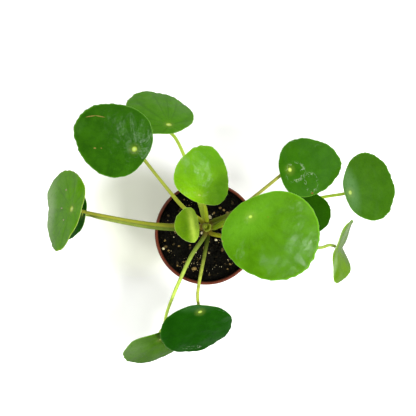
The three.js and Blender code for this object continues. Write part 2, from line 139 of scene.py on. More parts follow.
# Growing tip
TIP_BASE_RADIUS = 2.9
TIP_EDGE_HEIGHT = 1
TIP_BASE_HEIGHT = 1.4
TIP_EASING = 0.5
TIP_STEPS = 36
BUD_RADIUS = 1.5
BUD_SHOULDER = 3.2
BUD_POINT_RADIUS = 0.9
BUD_POINT_HEIGHT = 5.2
BUD_HEIGHT = 6.5
BUD_OVAL = 0.08
BUD_TWIST = 0.8
SHEATH_HEIGHT = 6.5
SHEATH_FLARE = 1.5
SHEATH_MIDDLE = -35
SHEATH_SPAN = 190
SHEATH_FOOT_SINK = 0.4
SHEATH_TAPER = 0.35
SHEATH_SLOPE = 1.6
SHEATH_GRID = (30, 12)

# Stalks
STALK_ROOT_RADIUS = 1.9
STALK_END_RADIUS = 1.35
STALK_TAPER_SHARE = 0.625
STALK_START = 2.5
STALK_START_RISE = 0.8
STALK_KNEE = 4
STALK_KNEE_EASE = 0.15
STALK_ROOT_SINK = 1.3
STALK_HUB_REACH = 0.5
STALK_SIDES = 16
STALK_FEWEST_RINGS = 40
STALK_RING_SPACING = 1.6
STALK_RING_CROWDING = 0.11
STALK_ROUNDING = 0.5
STALK_RIDGES = 0.03
ROOT_BROWN = "#6e4f22"

# How far a stalk swells at its root and under the hub, where the swelling is widest, counted
# outwards past that end, and how far it reaches
ROOT_SWELL = 0.55
ROOT_SWELL_BACK = 1
ROOT_SWELL_REACH = 1.6
HUB_SWELL = 0.35
HUB_SWELL_ON = 0.5
HUB_SWELL_REACH = 1.1

# Leaf blades
EDGE_WAVES = 7
EDGE_WAVE_HEIGHT = 0.5
HUB_DIMPLE = 0.8
HUB_REACH = 0.2
FOLD_SOFTNESS = 0.17
FLARE_EASE = 1.6
BEND_SOFTNESS = 1.2
RIM_ROUNDING = 0.03
RIB_UNEVENNESS = (0.15, 0.1)
RIB_LEAN = 0.22
RIB_SHARPNESS = 6
MARGIN_TEETH = 0.02
MARGIN_NOISE = 8
MARGIN_START = 0.88
RELIEF_START = 0.15
RELIEF_END = 0.12
QUILT_SCALE = 0.11
RIPPLE_SCALE = 0.34
RIPPLE_SHARE = 0.45
CRINKLE_SCALE = 0.8
CRINKLE_SHARE = 0.08
LEAF_SEGMENTS = 208
LEAF_RINGS = 38

# Finish of the blades. Beyond the hub, the paler colour painted on a lit side is full up to one distance,
# gone at the other
USUAL_SHINE = 0.5
LEAF_IOR = 1.42
UNDERSIDE_ROUGHNESS = 0.62
LEAF_BUMP = 0.25
PAINTED_LIGHT_FULL = 3.2
PAINTED_LIGHT_END = 6.5
DOT_MIDDLE = (0.6, 0.7, 0.4)

# Camera: its place above the pot, and its field of view in degrees
CAMERA_PLACE = Vector((1.6, 22.3, 580))
CAMERA_VIEW_ANGLE = 40

# The floor reaches this far each way from the pot, in metres
FLOOR_REACH = 0.35

# The plant's shadow painted on the floor, where the glow is left out and the colour tinted: its middle, its
# dark core and how far it fades out
SHADOW_MIDDLE = Vector((-70, 10, 0))
SHADOW_CORE = 38
SHADOW_REACH = 72

# Where the two main lamps stand: compass way and height in degrees
RIGHT_LAMP_WAY = (-29, 54)
LEFT_LAMP_WAY = (201, 59)

# The point that every lamp shines at, in metres
LAMP_AIM = Vector((0, 0.02, 0.08))

# Weak lamps that show mirrored, as a sheen on the blades: name, compass way, height, power, width
GLINTS = [
    ("right_front_lamp", -50, 21, 0.9, 0.12),
    ("far_right_lamp", -36, 28, 0.35, 0.1),
    ("low_front_lamp", -72, 19, 0.3, 0.08),
    ("rear_left_lamp", 135, 57, 0.9, 0.15),
    ("rear_lamp", 124, 46, 0.35, 0.1),
    ("left_rear_lamp", 98, 17, 0.5, 0.1),
    ("low_rear_lamp", 73, 18, 0.9, 0.12),
    ("right_rear_lamp", 56, 17, 0.7, 0.11),
]

# How bright the surroundings look where they are mirrored: the band on the right, the low part
# on the left, to the rear and all round, and everything else
MIRRORED_RIGHT = 0.45
MIRRORED_LEFT = 0.35
MIRRORED_REAR = 0.08
MIRRORED_LOW = 0.06
MIRRORED_REST = 0.03

# How much of the floor's brightness is mirrored
MIRRORED_FLOOR = 0.25


def rgb(text):
    """Turn a colour such as "#2f6a08" into the linear values that a shader takes."""
    levels = [int(text[i:i + 2], 16) / 255 for i in (1, 3, 5)]
    return tuple(v / 12.92 if v <= 0.04045 else ((v + 0.055) / 1.055) ** 2.4 for v in levels)


# The leaves, from the upper left round to the right, in millimetres and degrees.
# hub: where the stalk meets the blade. size: length and width of the flat blade.
# inset: how far the hub lies from the blade's middle, as a share of half its length.
# slope: how steep the blade is, the compass way it slopes down, and its own turn.
# sag: droop of the tip and of the sides. corners: a three-cornered bulge and its angle.
# fold: how far both sides rise. flare: how far the left and right sides twist outwards.
# bend: a soft crease, how far beyond the hub it lies and how steeply the blade falls after it.
# root and via: the stalk's root on the stem, and the points that it passes.
# colours: blade, its darker mottling, its margin. ribs: how clear its radial grooves are.
# shine: how strongly the blade mirrors light, 0.5 where it isn't given.
# dot: size of the pale dot over the stalk. young: a paler colour painted up to the crease, as painted light
# on the lit face.
# stalk: colours at the root and outwards.
LEAVES = [
    {
        "hub": (-55.5, 68, 136), "size": (70, 58), "inset": 0.62, "slope": (13, 153, 0),
        "sag": (5, 4), "corners": (0.04, -5),
        "root": (103, 128), "via": [(-18, 22.5, 113), (-38, 46.5, 122), (-48, 59.5, 129)],
        "slot": "leaf_dark", "colours": ("#2e6004", "#225004", "#4c8414"), "ribs": 0.04, "dot": 1.3,
        "stalk": ("#acb826", "#a4ae4a"),
    },
    {
        "hub": (-30.5, 90.5, 112), "size": (65, 57), "inset": 0.66, "slope": (45, 77, 34),
        "sag": (5, 4), "corners": (0.03, 20),
        "root": (94, 106), "via": [(-6, 28.5, 101), (-18.3, 66, 107), (-25.8, 80.8, 109)],
        "slot": "leaf_mid", "colours": ("#457a06", "#3b7004", "#6a9a22"), "ribs": 0.5, "dot": 1.4,
        "stalk": ("#a8be3a", "#c8e856"),
    },
    {
        "hub": (-4.5, 31.5, 172), "size": (53, 42), "inset": 0.72, "slope": (30, 50, 23),
        "sag": (7, 5), "corners": (0.06, 0),
        "root": (111, 84), "via": [(0.8, 12.5, 119), (-1.4, 25, 150)],
        "slot": "leaf_bright", "colours": ("#6aa204", "#5a9003", "#98ca30"), "ribs": 0.12, "dot": 0.7,
        "stalk": ("#94a40c", "#aec41a"),
    },
    {
        "hub": (-7.6, 9.8, 140), "size": (15, 27), "inset": 0.66, "slope": (-20, 185, 3),
        "sag": (1, 1), "corners": (0.06, 0), "bend": (3.5, 1.5),
        "root": (111, 178), "via": [(-6.6, 7.6, 121)],
        "slot": "leaf_bright", "colours": ("#6a9604", "#568204", "#b0d458"), "ribs": 0.1, "dot": 0.35,
        # Painted light: the face up to the crease is painted paler, as if lit.
        "young": "#9ebe3a",
        "stalk": ("#847c24", "#98a444"),
    },
    {
        "hub": (-108.5, 21.5, 118), "size": (58, 68), "inset": 0.58, "slope": (44, 164, 9),
        "sag": (6, 4), "corners": (0.05, -45), "flare": (-0.05, 0.2),
        "root": (106, 176), "via": [(-42, 9, 113), (-86, 16.5, 116)],
        "slot": "leaf_mid", "colours": ("#548c08", "#487e05", "#7c9c24"), "ribs": 0.4, "dot": 1.5,
        "stalk": ("#646a0e", "#888c2c"),
    },
    {
        "hub": (-106.6, 16.7, 88), "size": (58, 54), "inset": 0.86, "slope": (44, 178, -9),
        "sag": (5, 3), "corners": (0.06, -55),
        "root": (99, 192), "via": [(-43, 5.8, 102), (-90, 14, 96)],
        "slot": "leaf_dark", "colours": ("#1e5c04", "#164a03", "#2e600e"), "shine": 0.05,
        "ribs": 0.1, "dot": 1,
        "stalk": ("#3c5004", "#86963e"),
    },
    {
        "hub": (-5, -64.5, 102), "size": (63, 64), "inset": 0.76, "slope": (38, -69, -24),
        "sag": (5, 4), "corners": (0.03, 85),
        "root": (85, -82), "via": [(-1, -15.3, 92), (-7.2, -50.8, 100)],
        "slot": "leaf_dark", "colours": ("#144403", "#0e3a02", "#2a5a10"), "shine": 0.16,
        "ribs": 0.12, "dot": 1.1,
        "stalk": ("#283802", "#a6b244"),
    },
    {
        "hub": (-40.5, -95.5, 68), "size": (58, 58), "inset": 0.6, "slope": (52, -64, -40),
        "sag": (5, 3), "corners": (0.02, 0),
        "root": (101, -100),
        "via": [(-12, -17, 101), (-22, -38, 97), (-28, -52, 91), (-34, -68, 83), (-38, -83.5, 72)],
        "slot": "leaf_mid", "colours": ("#385f04", "#305503", "#5c8a1e"), "shine": 0.08,
        "ribs": 0.2, "dot": 1,
        "stalk": ("#5e7020", "#d6f468"),
    },
    {
        "hub": (30, 16.5, 198), "size": (75, 66), "inset": 0.67, "slope": (24, -74, 28),
        "sag": (6, 5), "corners": (0.03, -18),
        "root": (109, -8), "via": [(14.4, 11, 125), (27, 15.5, 172)],
        "slot": "leaf_bright", "colours": ("#457602", "#3b6902", "#5e9a14"), "ribs": 0.08, "dot": 0.8,
        "stalk": ("#769206", "#86a61c"),
    },
    {
        "hub": (67.5, 53, 120), "size": (60, 48), "inset": 0.64, "slope": (18, 5, 5),
        "sag": (5, 4), "corners": (0.05, 0),
        "root": (104, 42), "via": [(21.5, 18.2, 109), (60, 48.3, 116)],
        "slot": "leaf_dark", "colours": ("#2e5e04", "#265403", "#50841a"), "ribs": 0.12, "dot": 1.1,
        "stalk": ("#505c04", "#989c42"),
    },
    {
        "hub": (119, 35, 108), "size": (59, 59), "inset": 0.83, "slope": (26, 15, 0),
        "sag": (5, 4), "corners": (0.03, 63),
        "root": (89, 2), "via": [(50, 18.5, 82), (98, 31, 85)],
        "slot": "leaf_mid", "colours": ("#335e04", "#2c5603", "#568a20"), "ribs": 0.12, "dot": 1.1,
        "stalk": ("#88961c", "#aece42"),
    },
    {
        "hub": (74, 17.5, 106), "size": (43, 37), "inset": 0.62, "slope": (16, 0, 0),
        "sag": (4, 3), "corners": (0.02, 0),
        "root": (99, 12), "via": [(16, 12, 101), (50, 16, 101)],
        "slot": "leaf_dark", "colours": ("#1e4602", "#193e02", "#34660a"), "shine": 0.05,
        "ribs": 0.08, "dot": 1,
        "stalk": ("#6c7c22", "#8c9c40"),
    },
    {
        "hub": (110.5, -10.5, 98), "size": (50, 57), "inset": 0.83, "slope": (68, -20, 2),
        "sag": (2, -1), "corners": (0.08, 34), "fold": 1, "flare": (0, 0.7),
        "root": (101, -52), "via": [(13.3, -1.2, 103), (60, -11.5, 107), (97, -10.8, 100.5)],
        "slot": "leaf_mid", "colours": ("#567a04", "#4a7004", "#84ac34"), "shine": 0.15,
        "ribs": 0.2, "dot": 0.8,
        "stalk": ("#84880c", "#8ca446"),
    },
]

# Marks on the blades, by leaf number: kind, place on the flat blade, half sizes, turn, colour, strength
SCRATCH = "#9a7f45"
WATER_MARK = "#c3cdb4"
SPECK = "#b59a86"
# The soft patches are painted light and shade: a pale sheen on leaves 1, 5, 7, 8, 9, 11 and 13, a lit crest
# and a shaded band on leaf 4, and on leaf 3 darker green over the outer part and one side, with yellower
# green near the hub.
MARKS = {
    1: [
        ("painted_sheen_and_shade", (52, 4), (5, 8), 0, "#4f8030", 0.2),
        ("streak", (47.6, -8), (4.8, 0.45), 31, SCRATCH, 0.8),
        ("streak", (39.8, -11.2), (4.8, 0.4), 13, SCRATCH, 0.7),
        ("spot", (31.2, 13.2), (1.3, 0.6), 20, SCRATCH, 0.8),
        ("spot", (25.7, 10.9), (0.7, 0.5), 0, SCRATCH, 0.7),
    ],
    3: [
        ("painted_sheen_and_shade", (38, 0), (15, 24), 0, "#4a8806", 0.55),
        ("painted_sheen_and_shade", (12, -15), (14, 7), 20, "#4a8806", 0.4),
        ("painted_sheen_and_shade", (-2, 4), (9, 13), 0, "#86b804", 0.35),
    ],
    4: [
        ("painted_sheen_and_shade", (2.6, 0), (2, 12), 0, "#c8e454", 0.6),
        ("painted_sheen_and_shade", (7.5, 0), (2.5, 10), 0, "#466e02", 0.4),
    ],
    5: [
        ("painted_sheen_and_shade", (43, 4), (19, 40), 0, "#9fbc84", 0.6),
        ("spot", (12.8, -15.4), (1.1, 0.9), 0, SPECK, 0.8),
        ("streak", (15.2, 0), (1.6, 0.6), 0, SPECK, 0.8),
        ("spot", (9.4, 9.5), (0.9, 0.8), 0, SPECK, 0.7),
    ],
    7: [
        ("painted_sheen_and_shade", (-7, -4), (8, 28), 0, "#4a7440", 0.2),
        ("ring", (47.6, -1), (2.2, 9), 4, WATER_MARK, 0.3),
    ],
    8: [
        ("painted_sheen_and_shade", (18, -26), (30, 20), 0, "#86a070", 0.2),
    ],
    9: [
        ("painted_sheen_and_shade", (1, -6), (15, 34), 0, "#6fae2c", 0.22),
        ("spot", (8.7, 8.2), (0.6, 0.5), 0, "#6a4a10", 0.6),
        ("spot", (1.4, -26.2), (0.9, 0.7), 0, "#9a7a50", 0.6),
    ],
    10: [
        ("ring", (4.5, -2.5), (9, 8.2), 15, WATER_MARK, 0.28),
        ("ring", (18, -13), (6.4, 8.6), 10, WATER_MARK, 0.28),
        ("spot", (18.6, -21.8), (1.1, 0.8), 0, "#7a4022", 0.85),
    ],
    11: [
        ("painted_sheen_and_shade", (1, 4), (10, 26), 0, "#6f9468", 0.28),
    ],
    13: [
        ("painted_sheen_and_shade", (16, 16), (9, 17), 0, "#a6be8c", 0.22),
        ("painted_sheen_and_shade", (5, -18), (6, 16), 0, "#a6be8c", 0.25),
    ],
}


class PotSettings(bpy.types.PropertyGroup):
    rim_radius: FloatProperty(
        name="Rim radius", description="Outer radius of the pot's lip",
        default=(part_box("pot")[1][0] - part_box("pot")[0][0]) / 2, unit="LENGTH")
    plastic: FloatVectorProperty(
        name="Plastic", description="Colour of the pot",
        default=rgb("#672e1c"), subtype="COLOR", min=0, max=1)
    earth_stain: FloatVectorProperty(
        name="Earth stain", description="Colour of the soil dust that sticks to the inside of the collar",
        default=rgb("#2a1d14"), subtype="COLOR", min=0, max=1)


class SoilSettings(bpy.types.PropertyGroup):
    crumbs: IntProperty(
        name="Crumbs", description="How many loose crumbs lie on the soil", default=900, min=0)
    largest_crumb: FloatProperty(
        name="Largest crumb", description="Half width of the largest crumb", default=1.7 * MM, unit="LENGTH")
    earth: FloatVectorProperty(
        name="Earth", description="Colour of the moist soil",
        default=rgb("#0f0e0a"), subtype="COLOR", min=0, max=1)
    tan_grit: FloatVectorProperty(
        name="Tan grit", description="Colour of the bits of bark and coarse grit",
        default=rgb("#8a7442"), subtype="COLOR", min=0, max=1)
    pale_grit: FloatVectorProperty(
        name="Pale grit", description="Colour of the palest grains",
        default=rgb("#e4deb2"), subtype="COLOR", min=0, max=1)


class CrownSettings(bpy.types.PropertyGroup):
    bark: FloatVectorProperty(
        name="Bark", description="Colour of the woody stem",
        default=rgb("#6d6430"), subtype="COLOR", min=0, max=1)
    scar: FloatVectorProperty(
        name="Leaf scar", description="Colour of the scars that old stalks left",
        default=rgb("#4a3418"), subtype="COLOR", min=0, max=1)
    bud: FloatVectorProperty(
        name="Bud", description="Colour of the bud and its sheath",
        default=rgb("#a4b424"), subtype="COLOR", min=0, max=1)


class LeafSettings(bpy.types.PropertyGroup):
    thickness: FloatProperty(
        name="Thickness", description="Thickness of a blade", default=0.8 * MM, unit="LENGTH")
    rib_depth: FloatProperty(
        name="Rib depth", description="Depth of the radial grooves of a fully ribbed blade",
        default=0.15 * MM, unit="LENGTH")
    quilting: FloatProperty(
        name="Quilting", description="Height of the gentle unevenness of a blade",
        default=0.3 * MM, unit="LENGTH")
    ribs: IntProperty(name="Ribs", description="How many grooves run out from the hub", default=9, min=3)
    dot: FloatVectorProperty(
        name="Hub dot", description="Colour of the pale dot above the stalk",
        default=rgb("#a6bf46"), subtype="COLOR", min=0, max=1)
    underside: FloatVectorProperty(
        name="Underside", description="Colour of a blade's underside",
        default=rgb("#8fa862"), subtype="COLOR", min=0, max=1)


class StageSettings(bpy.types.PropertyGroup):
    right_lamp: FloatProperty(
        name="Right lamp", description="Power of the main lamp on the right", default=15.0, unit="POWER")
    left_lamp: FloatProperty(
        name="Left lamp", description="Power of the main lamp on the left", default=1.2, unit="POWER")
    lamp_width: FloatProperty(
        name="Lamp width", description="Width of both main lamps", default=0.4, unit="LENGTH")
    lamp_distance: FloatProperty(
        name="Lamp distance", description="How far away the lamps stand", default=1.2, unit="LENGTH")
    sky: FloatProperty(
        name="Sky", description="Strength of the even light from all round", default=0.85, min=0)
    floor: FloatVectorProperty(
        name="Floor", description="Colour of the floor",
        default=(0.9, 0.9, 0.89), subtype="COLOR", min=0, max=1)
    shadow_tint: FloatVectorProperty(
        name="Shadow tint", description="Colour of the floor where the plant's shadow lies",
        default=(0.84, 0.85, 0.75), subtype="COLOR", min=0, max=1)
    floor_glow: FloatProperty(
        name="Floor glow", description="Light that lifts the floor to white, away from the plant's shadow",
        default=0.22, min=0)


class Wiring:
    """Short ways to add nodes to a tree and to wire them."""

    def __init__(self, tree):
        self.tree = tree

    def feed(self, socket, value):
        if isinstance(value, bpy.types.NodeSocket):
            self.tree.links.new(value, socket)
        elif socket.type == "RGBA" and len(value) == 3:
            socket.default_value = (*value, 1)
        else:
            socket.default_value = value

    def node(self, kind, inputs, **settings):
        node = self.tree.nodes.new(kind)
        for name, value in settings.items():
            setattr(node, name, value)
        for key, value in inputs.items():
            self.feed(node.inputs[key], value)
        return node

    def math(self, operation, *values):
        return self.node("ShaderNodeMath", dict(enumerate(values)), operation=operation).outputs[0]

    def times(self, *values):
        result = values[0]
        for value in values[1:]:
            result = self.math("MULTIPLY", result, value)
        return result

    def vector(self, operation, *values, **named):
        node = self.node("ShaderNodeVectorMath", dict(enumerate(values)) | named, operation=operation)
        return node.outputs["Value" if operation in ("LENGTH", "DISTANCE") else "Vector"]

    def split(self, vector):
        return self.node("ShaderNodeSeparateXYZ", {0: vector}).outputs

    def mix(self, factor, first, second, blend="MIX"):
        inputs = {0: factor, 6: first, 7: second}
        return self.node("ShaderNodeMix", inputs, data_type="RGBA", blend_type=blend).outputs[2]

    def tinted(self, colour, mask, strength, tint):
        """Lay a tint over a colour where a mask shows, at a strength."""
        return self.mix(self.times(mask, strength), colour, tint)

    def noise(self, place, scale, detail=2.0, roughness=0.5):
        inputs = {"Vector": place, "Scale": scale, "Detail": detail, "Roughness": roughness}
        return self.node("ShaderNodeTexNoise", inputs).outputs[0]

    def cracks(self, place, scale):
        inputs = {"Vector": place, "Scale": scale}
        return self.node("ShaderNodeTexVoronoi", inputs, feature="DISTANCE_TO_EDGE").outputs["Distance"]

    def step(self, value, start, finish):
        """Rise softly from 0 at start to 1 at finish, where start may be the larger of the two."""
        inputs = {0: value, 1: start, 2: finish}
        return self.node("ShaderNodeMapRange", inputs, interpolation_type="SMOOTHSTEP").outputs[0]

    def attribute(self, name):
        return self.node("ShaderNodeAttribute", {}, attribute_name=name).outputs

    def place(self):
        return self.node("ShaderNodeTexCoord", {}).outputs["Object"]


class Shader(Wiring):
    """A principled material."""

    def __init__(self, name, constants):
        self.material = bpy.data.materials.new(name)
        self.material.use_nodes = True
        super().__init__(self.material.node_tree)
        self.surface = self.tree.nodes["Principled BSDF"]
        self.set(constants)

    def set(self, inputs):
        for name, value in inputs.items():
            self.feed(self.surface.inputs[name], value)

    def bump(self, height, distance):
        node = self.node("ShaderNodeBump", {"Height": height, "Distance": distance})
        self.feed(self.surface.inputs["Normal"], node.outputs["Normal"])


def shaded(colour, factor):
    """A darker or lighter shade of a colour."""
    return tuple(min(1, level * factor) for level in colour)


def finish_piece(bm, name, material, replaced=None):
    """Turn a shape drawn in millimetres into a piece of the plant."""
    bmesh.ops.scale(bm, vec=(MM, MM, MM), verts=bm.verts)
    for face in bm.faces:
        face.smooth = True
    mesh = bpy.data.meshes.new(name)
    bm.to_mesh(mesh)
    bm.free()
    mesh.materials.append(material)
    piece = bpy.data.objects.new(name, mesh)
    bpy.context.collection.objects.link(piece)
    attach(piece, "root")
    if replaced:
        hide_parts(replaced)
    return piece


def rounded(profile, radius, steps=3):
    """Ease each corner of a profile into a small arc."""
    points = [Vector(point) for point in profile]
    eased = [points[0]]
    for before, corner, after in zip(points, points[1:], points[2:]):
        start = corner + (before - corner) * min(0.45, radius / (before - corner).length)
        finish = corner + (after - corner) * min(0.45, radius / (after - corner).length)
        for step in range(steps + 1):
            share = step / steps
            eased.append(start.lerp(corner, share).lerp(corner.lerp(finish, share), share))
    eased.append(points[-1])
    return eased


def spun(profile, steps):
    """Turn a profile of (radius, height) points round the Z axis into a closed shape."""
    bm = bmesh.new()
    verts = [bm.verts.new((radius, 0, height)) for radius, height in profile]
    edges = [bm.edges.new(pair) for pair in zip(verts, verts[1:])]
    bmesh.ops.spin(
        bm, geom=verts + edges, cent=(0, 0, 0), axis=UP, angle=2 * math.pi, steps=steps, use_merge=True)
    bmesh.ops.remove_doubles(bm, verts=bm.verts, dist=1e-4)
    bmesh.ops.recalc_face_normals(bm, faces=bm.faces)
    return bm


def cut_away(body, cutter):
    """Cut one closed shape out of another."""
    objects = []
    for name, bm in (("body", body), ("cutter", cutter)):
        mesh = bpy.data.meshes.new(name)
        bm.to_mesh(mesh)
        bm.free()
        objects.append(bpy.data.objects.new(name, mesh))
        bpy.context.collection.objects.link(objects[-1])
    modifier = objects[0].modifiers.new("cut", "BOOLEAN")
    modifier.operation = "DIFFERENCE"
    modifier.solver = "EXACT"
    modifier.object = objects[1]
    graph = bpy.context.evaluated_depsgraph_get()
    result = bmesh.new()
    result.from_object(objects[0], graph)
    for item in objects:
        mesh = item.data
        bpy.data.objects.remove(item)
        bpy.data.meshes.remove(mesh)
    return result


def mix(first, second, share):
    return first + (second - first) * share


# Pot
def collar_inner_radius():
    return bpy.context.scene.pilea_pot.rim_radius / MM - LIP_WIDTH


def inner_wall_radius(height):
    """Inner radius of the pot's wall, below the collar, at a height."""
    wall_top_radius = collar_inner_radius() + LIP_WIDTH - LIP_OVERHANG - COLLAR_TAPER - COLLAR_STEP
    return mix(BASE_RADIUS, wall_top_radius, height / (POT_HEIGHT - COLLAR_HEIGHT)) - WALL


def pot_profile(rim_radius):
    foot_inner = BASE_RADIUS - BASE_ROUNDING - FOOT_RING_WIDTH
    wall_top = POT_HEIGHT - COLLAR_HEIGHT
    floor_top = FOOT_LIFT + FLOOR_THICKNESS
    collar_foot_radius = rim_radius - LIP_OVERHANG - COLLAR_TAPER
    lip_bottom = POT_HEIGHT - LIP_HEIGHT
    inner = rim_radius - LIP_WIDTH
    underside = [
        (0, 0),
        (CENTRE_PAD_RADIUS - FOOT_SLOPE, 0),
        (CENTRE_PAD_RADIUS, FOOT_LIFT),
        (foot_inner - FOOT_SLOPE, FOOT_LIFT),
        (foot_inner, 0),
    ]
    outside = [
        (BASE_RADIUS - BASE_ROUNDING, 0),
        (BASE_RADIUS, BASE_ROUNDING),
        (collar_foot_radius - COLLAR_STEP, wall_top),
        (collar_foot_radius, wall_top + LIP_ROUNDING),
        (rim_radius - LIP_OVERHANG, lip_bottom),
        (rim_radius, lip_bottom + LIP_OVERHANG),
        (rim_radius, POT_HEIGHT - LIP_ROUNDING),
        (rim_radius - LIP_ROUNDING, POT_HEIGHT),
    ]
    inside = [
        (inner + LIP_ROUNDING, POT_HEIGHT),
        (inner, POT_HEIGHT - LIP_ROUNDING),
        (inner, wall_top + WALL),
        (inner_wall_radius(wall_top - WALL), wall_top - WALL),
        (inner_wall_radius(floor_top + BASE_ROUNDING), floor_top + BASE_ROUNDING),
        (inner_wall_radius(floor_top) - BASE_ROUNDING, floor_top),
        (0, floor_top),
    ]
    return underside + outside + inside


def pot_cutters():
    """The drain holes in the floor and the notches in the foot ring."""
    bm = bmesh.new()
    drain_circle = (CENTRE_PAD_RADIUS + BASE_RADIUS - BASE_ROUNDING - FOOT_RING_WIDTH) / 2
    for index in range(DRAIN_HOLES):
        turn = Matrix.Rotation((index + 0.5) * 2 * math.pi / DRAIN_HOLES, 4, "Z")
        bmesh.ops.create_cone(
            bm, cap_ends=True, segments=DRAIN_SIDES, radius1=DRAIN_RADIUS, radius2=DRAIN_RADIUS,
            depth=4 * FLOOR_THICKNESS, matrix=turn @ Matrix.Translation((drain_circle, 0, FOOT_LIFT)))
    for index in range(FOOT_NOTCHES):
        turn = Matrix.Rotation(index * 2 * math.pi / FOOT_NOTCHES, 4, "Z")
        size = Matrix.Diagonal((3 * FOOT_RING_WIDTH, FOOT_NOTCH_WIDTH, FOOT_LIFT, 1))
        bmesh.ops.create_cube(bm, size=1, matrix=turn @ Matrix.Translation((BASE_RADIUS, 0, 0)) @ size)
    return bm


def plastic_material(settings):
    """Satin plastic with faint moulding marks, and earth on the inside of the collar."""
    shader = Shader("terracotta_plastic", {"Specular IOR Level": 0.5})
    place = shader.place()
    z = shader.split(place)[2]
    flat_place = shader.vector("MULTIPLY", place, (1, 1, 0))
    radius = shader.vector("LENGTH", flat_place)
    tone = shader.noise(place, 60, 4, 0.6)
    colour = shader.mix(tone, shaded(settings.plastic, 0.82), shaded(settings.plastic, 1.15))
    bands = shader.noise(shader.vector("MULTIPLY", place, (0.3, 0.3, 9)), 90, 2)
    colour = shader.tinted(colour, bands, 0.22, shaded(settings.plastic, 0.7))
    inside = shader.step(radius, *(settings.rim_radius - inset * MM for inset in STAIN_INSET))
    low = shader.step(z, *(height * MM for height in STAIN_HEIGHT))
    wall_top = POT_HEIGHT - COLLAR_HEIGHT
    above_wall = shader.step(z, *((wall_top + stop) * MM for stop in STAIN_STOP))
    smears = shader.math("ADD", shader.noise(place, 420, 5, 0.7), shader.times(low, 0.35))
    stain = shader.times(inside, shader.step(smears, 0.45, 0.8), low, above_wall)
    colour = shader.mix(stain, colour, settings.earth_stain)
    dust = shader.step(shader.noise(place, 900, 3, 0.6), 0.6, 0.75)
    colour = shader.tinted(colour, dust, 0.18, shaded(settings.plastic, 1.5))
    rough = shader.math("ADD", shader.times(tone, 0.16), 0.36)
    shader.set({"Base Color": colour, "Roughness": shader.math("ADD", rough, shader.times(stain, 0.4))})
    grain = shader.noise(place, 2600, 2, 0.5)
    shader.bump(shader.math("ADD", shader.times(grain, 0.5), bands), 0.05 * MM)
    return shader.material


class PILEA_OT_add_pot(bpy.types.Operator):
    """Add the nursery pot, with its drain holes and foot notches"""

    bl_idname = "pilea.add_pot"
    bl_label = "Pot"

    def execute(self, context):
        settings = context.scene.pilea_pot
        body = spun(rounded(pot_profile(settings.rim_radius / MM), POT_EASING), POT_STEPS)
        pot = cut_away(body, pot_cutters())
        piece = finish_piece(pot, "fine_pot", plastic_material(settings), "pot")
        piece.data.shade_smooth()
        piece.data.set_sharp_from_angle(angle=POT_SHARP_ANGLE)
        return {"FINISHED"}


# Stem
def stem_centre(height):
    return STEM_FOOT.lerp(STEM_TOP, (height - STEM_FOOT.z) / (STEM_TOP.z - STEM_FOOT.z))


def stem_radius(height):
    return mix(STEM_FOOT_RADIUS, STEM_TOP_RADIUS, (height - STEM_FOOT.z) / (STEM_TOP.z - STEM_FOOT.z))


def lean_as_stem(bm, foot):
    """Stand a shape drawn round the Z axis at a point of the stem, leaning as the stem does."""
    turn = UP.rotation_difference(STEM_AXIS).to_matrix()
    bmesh.ops.rotate(bm, cent=(0, 0, 0), matrix=turn, verts=bm.verts)
    bmesh.ops.translate(bm, vec=foot, verts=bm.verts)


# Soil
def soil_height(x, y):
    long = math.sin(0.17 * x + 1) * math.cos(0.15 * y - 0.6)
    short = math.sin(0.46 * x - 0.3 * y) * math.cos(0.38 * y + 0.21 * x + 2)
    return SOIL_LEVEL + SOIL_UNEVENNESS * (0.6 * long + 0.5 * short)


def soil_bed():
    bottom = FOOT_LIFT + FLOOR_THICKNESS + SEAT_GAP
    wall_top = POT_HEIGHT - COLLAR_HEIGHT
    top_radius = collar_inner_radius() - SEAT_GAP
    profile = [
        (0, bottom),
        (inner_wall_radius(bottom) - BASE_ROUNDING - SEAT_GAP, bottom),
        (inner_wall_radius(bottom + BASE_ROUNDING) - SEAT_GAP, bottom + BASE_ROUNDING),
        (inner_wall_radius(wall_top - WALL) - SEAT_GAP, wall_top - WALL),
        (top_radius, wall_top + WALL + SEAT_GAP),
    ]
    profile += [(top_radius * ring / SOIL_RINGS, SOIL_LEVEL) for ring in range(SOIL_RINGS, -1, -1)]
    bm = spun(profile, SOIL_STEPS)
    for vert in bm.verts:
        x, y, z = vert.co
        if z > SOIL_LEVEL - SEAT_GAP:
            lumps = noise.fractal(Vector((x, y, 0)) * SOIL_LUMP_SCALE, 1.0, 2.0, 4)
            vert.co.z = soil_height(x, y) + SOIL_LUMP_HEIGHT * lumps - SOIL_LUMP_SINK
    return bm


def stem_hole():
    """The plain hole that the stem stands in, a little wider than the stem all the way up."""
    height = POT_HEIGHT - STEM_FOOT.z
    clearance = SCAR_RELIEF + SEAT_GAP
    bm = bmesh.new()
    bmesh.ops.create_cone(
        bm, cap_ends=True, segments=STEM_HOLE_SIDES, radius1=STEM_FOOT_RADIUS + clearance,
        radius2=stem_radius(POT_HEIGHT) + clearance, depth=height,
        matrix=Matrix.Translation((0, 0, height / 2 - SEAT_GAP)))
    lean_as_stem(bm, STEM_FOOT)
    return bm


